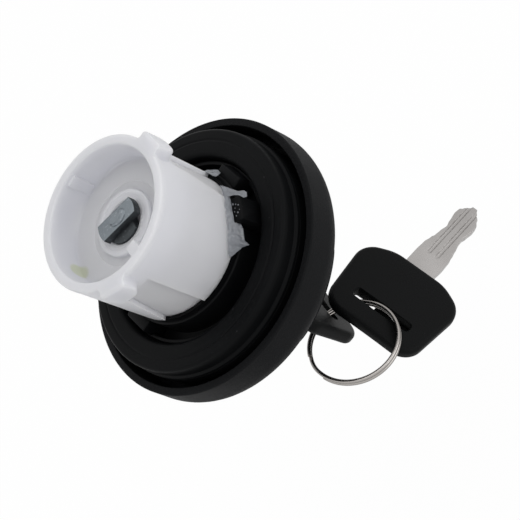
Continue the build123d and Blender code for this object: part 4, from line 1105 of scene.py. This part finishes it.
# ---------------------------------------------------------------- lock end
@dataclass
class TailBar:
    """The cast bar on the plug's tail: a disc with two flats, a step and the peened shaft end."""

    low_z: float = 24.9
    top_z: float = 27.3
    disc_r: float = 6.75
    half_w: float = 2.75
    azimuth: float = -31.0
    step_z: float = 22.6
    step_r: float = 6.05
    step_end: float = 3.2
    rivet_middle: float = 0.75
    rivet_half_l: float = 3.0
    rivet_half_w: float = 2.15
    rivet_rise: float = 0.5

    def at(self, along: float, across: float, height: float) -> Vector:
        """A point from its place along and across the bar."""
        turn = Matrix.Rotation(math.radians(self.azimuth), 3, "Z")
        return turn @ Vector((along, across, height))

    @staticmethod
    def arc(radius: float, start: float, end: float, steps: int = 24) -> list[Point2]:
        """Points on an arc between two angles in degrees."""
        turns = (math.radians(start + (end - start) * step / steps) for step in range(steps + 1))
        return [(radius * math.cos(turn), radius * math.sin(turn)) for turn in turns]

    def prism(self, name: str, outline: Sequence[Point2], low: float, high: float,
              edge: float) -> bpy.types.Object:
        """An upright prism with its upper edge softened."""
        count = len(outline)
        normals: list[Vector] = []
        for index in range(count):
            run = Vector(outline[(index + 1) % count]) - Vector(outline[index - 1])
            normals.append(Vector((-run.y, run.x)).normalized())
        rings: list[Ring] = []
        for height, inset in ((low, 0.0), (high - edge, 0.0), (high - edge * 0.3, edge * 0.3),
                              (high, edge)):
            rings.append([self.at(*(Vector(point) + normal * inset), height)
                          for point, normal in zip(outline, normals)])
        return skin_rings(name, rings)

    def peened(self) -> bpy.types.Object:
        """The shaft's end, hammered into an uneven oval dome."""
        count = 40
        rings: list[Ring] = []
        for share, rise in ((1.0, -0.3), (1.0, 0.25), (0.94, 0.6), (0.8, 0.85), (0.6, 0.95),
                            (0.4, 1.0), (0.15, 0.9)):
            ring: Ring = []
            for step in range(count):
                turn = 2 * math.pi * step / count
                east, north = math.cos(turn), math.sin(turn)
                dent = noise.noise(Vector((east * share * 2.1, north * share * 2.1, 1.7)))
                swell = 1 + 0.16 * noise.noise(Vector((east * 1.4, north * 1.4, 5.2)))
                lift = self.rivet_rise * rise + (0.22 * dent if rise > 0 else 0.0)
                ring.append(self.at(self.rivet_middle + self.rivet_half_l * share * swell * east,
                                    self.rivet_half_w * share * swell * north,
                                    self.top_z + min(lift, self.rivet_rise + 0.08)))
            rings.append(ring)
        return skin_rings("tail_rivet", rings, sharp_deg=14)

    def build(self, dresser: Dresser) -> None:
        """Builds, dresses and places the bar and its rivet."""
        flat_deg = math.degrees(math.asin(self.half_w / self.disc_r))
        disc = [*self.arc(self.disc_r, -flat_deg, flat_deg),
                *self.arc(self.disc_r, 180 - flat_deg, 180 + flat_deg)]
        cut_deg = math.degrees(math.acos(self.step_end / self.step_r))
        step_line = [*self.arc(self.step_r, 180.0, 360.0 - cut_deg), (self.step_end, 0.0)]
        bar = self.prism("bar", disc, self.low_z, self.top_z, 0.22)
        step = self.prism("step", step_line, self.step_z, self.low_z + 0.1, 0.1)
        dresser.dress(bar, Finishes.ZINC)
        # the bar's sides take the dim zinc copy: painted shade
        dresser.dress_sides_painted_shade(bar, Finishes.ZINC_PAINTED_SHADE)
        dresser.dress(step, Finishes.ZINC)
        # every face of the step takes the dim zinc copy: painted shadow from the bar above it
        dresser.dress_sides_painted_shade(step, Finishes.ZINC_PAINTED_SHADE, upright=2.0)
        piece = merged("tail_bar_cast", [bar, step])
        settle(piece, Body.PLUG, ["tail_bar"])
        rivet = self.peened()
        dresser.dress(rivet, Finishes.ZINC)
        settle(rivet, Body.PLUG)


# ---------------------------------------------------------------- keys
@dataclass
class Key:
    """A key: moulded head with a ring slot, and a flat steel blade with two grooves.

    Attributes:
        prefix: start of the pieces' names.
        body: the body it rides on.
        slot_centre: centre of the head's slot.
        across: direction across the head.
        face: direction of the head's face.
        lip_span: across the head, where the slot's lip starts and ends.
        left_edge: distance from the crown and half width at each cut of one edge.
        right_edge: the same for the other edge.
        grooves: across the blade, the middle of each groove.
    """

    prefix: str
    body: Body
    slot_centre: Point3
    across: Point3
    face: Point3
    head_t: float = 4.2
    far: float = 8.5
    crown: float = 20.6
    slot_half_l: float = 9.8
    slot_half_w: float = 1.7
    lip_span: Point2 = (-2.5, 9.7)
    blade_t: float = 2.2
    blade_l: float = 30.9
    blade_tang: float = 4.0
    blade_arris: float = 0.3
    grooves: Point2 = (-1.6, 1.3)
    groove_half_w: float = 0.62
    groove_depth: float = 0.45
    groove_start: float = 6.5
    groove_run_in: float = 1.2
    left_edge: tuple[Point2, ...] = (
        (0.0, 5.1), (5.4, 5.1), (9.4, 4.9), (12.4, 4.3), (14.0, 3.8), (16.0, 3.6), (19.4, 3.05),
        (21.4, 3.5), (25.4, 4.0), (27.4, 3.8), (28.4, 2.95), (29.6, 2.2), (30.9, 1.3))
    right_edge: tuple[Point2, ...] = (
        (0.0, 4.7), (5.0, 5.0), (8.8, 4.85), (11.4, 4.4), (14.4, 3.9), (16.0, 3.4), (18.4, 3.3),
        (20.4, 3.7), (23.4, 4.05), (25.0, 4.0), (27.4, 2.9), (29.4, 1.6), (30.9, 0.7))

    def at(self, across: float, along: float, out: float) -> Vector:
        """A point from its place on the key."""
        x_axis = Vector(self.across).normalized()
        z_axis = Vector(self.face)
        z_axis = (z_axis - x_axis * z_axis.dot(x_axis)).normalized()
        y_axis = z_axis.cross(x_axis)
        return Vector(self.slot_centre) + x_axis * across + y_axis * along + z_axis * out

    def head_outline(self) -> list[Point2]:
        """The head's outline about the slot's centre."""
        return rounded_outline([
            (-15.5, -self.far, 6.5), (15.5, -self.far, 6.5), (17.9, 16.1, 7.2),
            (8.9, self.crown, 12.2), (-8.9, self.crown, 12.2), (-17.9, 16.1, 7.2)], 14)

    def slot_outline(self) -> list[Point2]:
        """The slot's outline."""
        long, wide, corner = self.slot_half_l, self.slot_half_w, 1.2
        return rounded_outline([(-long, -wide, corner), (long, -wide, corner),
                                (long, wide, corner), (-long, wide, corner)])

    @staticmethod
    def cross(outline: Sequence[Point2], turn: float) -> Vector:
        """Where a ray from the centre at this angle leaves a convex outline."""
        ray = Vector((math.cos(turn), math.sin(turn)))
        count = len(outline)
        for index in range(count):
            start, end = Vector(outline[index]), Vector(outline[(index + 1) % count])
            edge = end - start
            det = ray.x * edge.y - ray.y * edge.x
            if abs(det) < 1e-12:
                continue
            reach = (start.x * edge.y - start.y * edge.x) / det
            share = (start.x * ray.y - start.y * ray.x) / det
            if reach > 0 and -1e-9 <= share <= 1 + 1e-9:
                return ray * reach
        raise ValueError("the outline doesn't surround its centre")

    def head(self) -> bpy.types.Object:
        """The moulded head: soft outer edge, flat faces, chamfered slot."""
        outer_line, slot_line = self.head_outline(), self.slot_outline()
        turns = sorted({round(math.atan2(y, x), 6) for x, y in [*outer_line, *slot_line]}
                       | {round(-math.pi + 2 * math.pi * step / 120, 6) for step in range(120)})
        pairs = [(self.cross(slot_line, turn), self.cross(outer_line, turn)) for turn in turns]
        half = self.head_t / 2
        edge, chamfer = 1.6, 0.3
        section: list[Point3] = [(0.0, 0.0, half - chamfer), (0.0, chamfer, half)]
        section += [(share, 0.0, half) for share in (0.33, 0.66)]
        section += [(1.0, -edge * (1 - math.sin(turn)), half - edge * (1 - math.cos(turn)))
                    for turn in (math.pi / 2 * step / 8 for step in range(9))]
        mirrored = [(share, offset, -out) for share, offset, out in reversed(section)]
        rings: list[Ring] = []
        for share, offset, out in [*section, *mirrored]:
            ring: Ring = []
            for inner, outer in pairs:
                direction = (outer - inner).normalized()
                point = inner.lerp(outer, share) + direction * offset
                ring.append(self.at(point.x, point.y, out))
            rings.append(ring)
        return skin_rings(f"{self.prefix}head", rings, closed=True, sharp_deg=40)

    def lip(self) -> bpy.types.Object:
        """The thin lip that narrows the slot at the back of the head."""
        start, end = self.lip_span
        wall, half = self.slot_half_w + 0.4, self.head_t / 2
        corners = ((start, wall), (end, wall), (end, wall - 1.5), (start, wall - 1.5))
        rings = [[self.at(across, along, out) for across, along in corners]
                 for out in (-half + 0.05, -half + 0.75)]
        return skin_rings("lip", rings)

    @staticmethod
    def half_width(along: float, edge: Sequence[Point2]) -> float:
        """Half width of the blade at a distance from the crown, eased between the cuts."""
        for (start, before), (end, after) in zip(edge, edge[1:]):
            if along <= end:
                share = max(0.0, (along - start) / (end - start))
                return before + (after - before) * (3 * share ** 2 - 2 * share ** 3)
        return edge[-1][1]

    def blade(self) -> bpy.types.Object:
        """The blade: cut edges, soft arrises and two milled grooves on each face."""
        rows, columns, half = 150, 46, self.blade_t / 2
        rings: list[Ring] = []
        for row in range(rows + 1):
            along = -self.blade_tang + (self.blade_l + self.blade_tang) * row / rows
            low = -self.half_width(along, self.left_edge)
            high = self.half_width(along, self.right_edge)
            front: Ring = []
            back: Ring = []
            for column in range(columns + 1):
                across = low + (high - low) * column / columns
                rim = min(across - low, high - across)
                out = half - 0.22 * max(0.0, 1 - rim / self.blade_arris) ** 2
                reach = min(1.0, max(0.0, (along - self.groove_start) / self.groove_run_in))
                for centre in self.grooves:
                    inside = max(0.0, 1 - (abs(across - centre) / self.groove_half_w) ** 4)
                    out -= self.groove_depth * inside * reach
                front.append(self.at(across, self.crown + along, out))
                back.append(self.at(across, self.crown + along, -out))
            rings.append(front + back[::-1])
        return skin_rings(f"{self.prefix}blade", rings, sharp_deg=38)

    def build(self, dresser: Dresser) -> None:
        """Builds, dresses and places the key."""
        head = merged(f"{self.prefix}head", [self.head(), self.lip()])
        dresser.dress(head, Finishes.KEY_HEAD)
        settle(head, self.body, [f"{self.prefix}key_head"])
        blade = self.blade()
        dresser.dress(blade, Finishes.KEY_BLADE)
        settle(blade, self.body, [f"{self.prefix}key_blade"])


@dataclass
class SplitRing:
    """Two flat turns of wire, one on the other, with one crossing."""

    centre: Point3 = (-5.728, -19.173, -57.331)
    axis: Point3 = (0.372, -0.193, 0.908)
    join_side: Point3 = (-0.835, 0.357, 0.418)
    radius: float = 13.4
    wire: float = 1.2
    join_deg: float = 36.0

    def build(self, dresser: Dresser, wires: bpy.types.GeometryNodeTree) -> None:
        """Builds, dresses and places the ring."""
        z_axis = Vector(self.axis).normalized()
        x_axis = Vector(self.join_side)
        x_axis = (x_axis - z_axis * x_axis.dot(z_axis)).normalized()
        y_axis = z_axis.cross(x_axis)
        rise, half = self.wire + 0.02, self.join_deg / 2
        path: Ring = []
        steps = 420
        for step in range(steps + 1):
            turn = half + (720 - 2 * half) * step / steps
            crossing = (turn - (360 - half)) / (2 * half)
            lift = -rise / 2 if crossing <= 0 else rise / 2
            if 0 < crossing < 1:
                lift = -rise / 2 + rise * (3 * crossing ** 2 - 2 * crossing ** 3)
            angle = math.radians(turn)
            outward = x_axis * math.cos(angle) + y_axis * math.sin(angle)
            path.append((Vector(self.centre) + outward * self.radius + z_axis * lift) * MM)
        mesh = bpy.data.meshes.new("key_ring")
        mesh.from_pydata(path, [(step, step + 1) for step in range(steps)], [])
        piece = run_tree(linked("key_ring", mesh), wires, {
            "Wire Radius": self.wire / 2 * MM, "Material": dresser.get(Finishes.RING)})
        dresser.dress(piece, Finishes.RING)
        settle(piece, Body.RING, ["split_ring"])


# ---------------------------------------------------------------- studio
@dataclass
class Studio:
    """Camera, floor, world and lamps."""

    camera_at: Point3 = (5.1, -404.5, 373.8)
    camera_right: Point3 = (0.397, -0.647, -0.651)
    camera_up: Point3 = (0.918, 0.280, 0.282)
    focal_px: float = 2008.0
    frame_px: float = 520.0
    sensor: float = 36.0
    floor_z: float = -150.0
    floor_half: float = 6000.0
    floor_shade: float = 0.85
    floor_glow: float = 1.02
    floor_share: float = 0.93
    world_level: float = 0.64

    def camera(self) -> None:
        """The camera at the cap's own distance and roll."""
        data = bpy.data.cameras.new("camera")
        data.sensor_width = self.sensor
        data.lens = self.focal_px / self.frame_px * self.sensor
        data.clip_start, data.clip_end = 0.01, 20
        camera = linked("camera", data)
        right = Vector(self.camera_right).normalized()
        up = Vector(self.camera_up)
        up = (up - right * up.dot(right)).normalized()
        back = right.cross(up)
        camera.matrix_world = Matrix.Translation(Vector(self.camera_at) * MM) @ Matrix(
            (right, up, back)).transposed().to_4x4()
        bpy.context.scene.camera = camera

    @staticmethod
    def seen_directly(tree: bpy.types.ShaderNodeTree) -> bpy.types.NodeSocket:
        """A mask of the rays that show the background: from the camera, mirrored or let through."""
        rays = add_node(tree, "ShaderNodeLightPath").outputs
        seen = math_node(tree, "MAXIMUM", rays["Is Camera Ray"], rays["Is Glossy Ray"])
        return math_node(tree, "MAXIMUM", seen, rays["Is Transmission Ray"])

    def plain_white(self, name: str, shade: float) -> bpy.types.Material:
        """A pale surface that the camera sees as white, with soft shadows kept."""
        material = bpy.data.materials.new(name)
        material.use_nodes = True
        tree = material.node_tree
        shader = tree.nodes["Principled BSDF"]
        shader.inputs["Base Color"].default_value = (shade, shade, shade, 1)
        shader.inputs["Roughness"].default_value = 0.9
        shader.inputs["Specular IOR Level"].default_value = 0.0
        glow = add_node(tree, "ShaderNodeEmission", {"Strength": self.floor_glow})
        share = math_node(tree, "MULTIPLY", self.seen_directly(tree), self.floor_share)
        mix = add_node(tree, "ShaderNodeMixShader", {
            0: share, 1: shader.outputs[0], 2: glow.outputs[0]})
        tree.links.new(mix.outputs[0], tree.nodes["Material Output"].inputs["Surface"])
        return material

    def floor(self) -> None:
        """A wide pale floor below the hanging keys."""
        half = self.floor_half
        corners = [Vector((x * half, y * half, self.floor_z))
                   for x, y in ((-1, -1), (1, -1), (1, 1), (-1, 1))]
        floor = finish_mesh("floor", corners, [(0, 1, 2, 3)])
        floor.data.materials.append(self.plain_white("floor_white", self.floor_shade))

    def world(self) -> None:
        """An even pale world, white where the camera sees it."""
        world = bpy.data.worlds.new("world")
        world.use_nodes = True
        tree = world.node_tree
        strength = add_node(tree, "ShaderNodeMapRange", {
            "Value": self.seen_directly(tree), "To Min": self.world_level, "To Max": 1.0})
        background = tree.nodes["Background"]
        tree.links.new(strength.outputs[0], background.inputs["Strength"])
        background.inputs["Color"].default_value = (1, 1, 1, 1)
        bpy.context.scene.world = world

    def lamp(self, name: str, at: Point3, size: float, watts: float) -> None:
        """A soft square lamp that faces the cap.

        Args:
            name: the lamp's name.
            at: its place right, up and back from the cap as the camera sees it, in millimetres.
            size: its side in metres.
            watts: its power.
        """
        right, up = Vector(self.camera_right).normalized(), Vector(self.camera_up).normalized()
        back = right.cross(up)
        place = (right * at[0] + up * at[1] + back * at[2]) * MM
        data = bpy.data.lights.new(name, "AREA")
        data.size = size
        data.energy = watts
        lamp = linked(name, data)
        lamp.location = place
        lamp.rotation_mode = "QUATERNION"
        lamp.rotation_quaternion = place.to_track_quat("Z", "Y")

    def build(self) -> None:
        """Sets up the whole studio."""
        self.camera()
        self.floor()
        self.world()
        self.lamp("key_lamp", at=(-300, 600, 900), size=1.0, watts=2.6)
        self.lamp("side_lamp", at=(900, 150, 400), size=0.9, watts=5.0)
        bpy.context.scene.view_settings.view_transform = "Standard"


def clear_startup() -> None:
    """Removes the objects that a new file starts with."""
    for name in ("Cube", "Light", "Camera"):
        if name in bpy.data.objects:
            bpy.data.objects.remove(bpy.data.objects[name])


def dress_hidden_parts(dresser: Dresser) -> None:
    """Gives the CAD nodes that stay their finishes."""
    nodes = {
        Finishes.BEZEL: ("lock_bezel",),
        Finishes.ZINC: ("lock_housing", "lock_plug", "plug_shaft"),
        Finishes.SPRING: ("housing_clip", "valve_spring", "plug_clip"),
        Finishes.GASKET: ("housing_o_ring", "valve_seal"),
        Finishes.HUB: ("thrust_washer", "spring_retainer", "valve_plate"),
        Finishes.BRASS: ("lock_wafers",),
    }
    for finish, names in nodes.items():
        for node in names:
            dresser.dress_node(node, finish)


def main() -> None:
    """Builds every piece, then the studio."""
    logging.basicConfig(level=logging.INFO, format="%(message)s")
    clear_startup()
    dresser = Dresser()
    copies = copies_tree()
    wires = wire_tree()
    Studio().build()
    BayonetSleeve().build(dresser, copies)
    GripCover().build(dresser)
    SealHub().build(dresser, copies)
    Gasket().build(dresser)
    GreaseSmear().build(dresser)
    TailBar().build(dresser)
    lock_turn = math.radians(68.0)  # azimuth across the key in the lock
    Key("", Body.KEY, slot_centre=(0, 0, -56.15),
        across=(math.cos(lock_turn), math.sin(lock_turn), 0),
        face=(math.sin(lock_turn), -math.cos(lock_turn), 0)).build(dresser)
    Key("spare_", Body.SPARE, slot_centre=(4.943, -18.986, -63.143),
        across=(-0.211, -0.833, -0.512), face=(0.599, -0.524, 0.606)).build(dresser)
    SplitRing().build(dresser, wires)
    dress_hidden_parts(dresser)


if __name__ == "__main__":
    main()
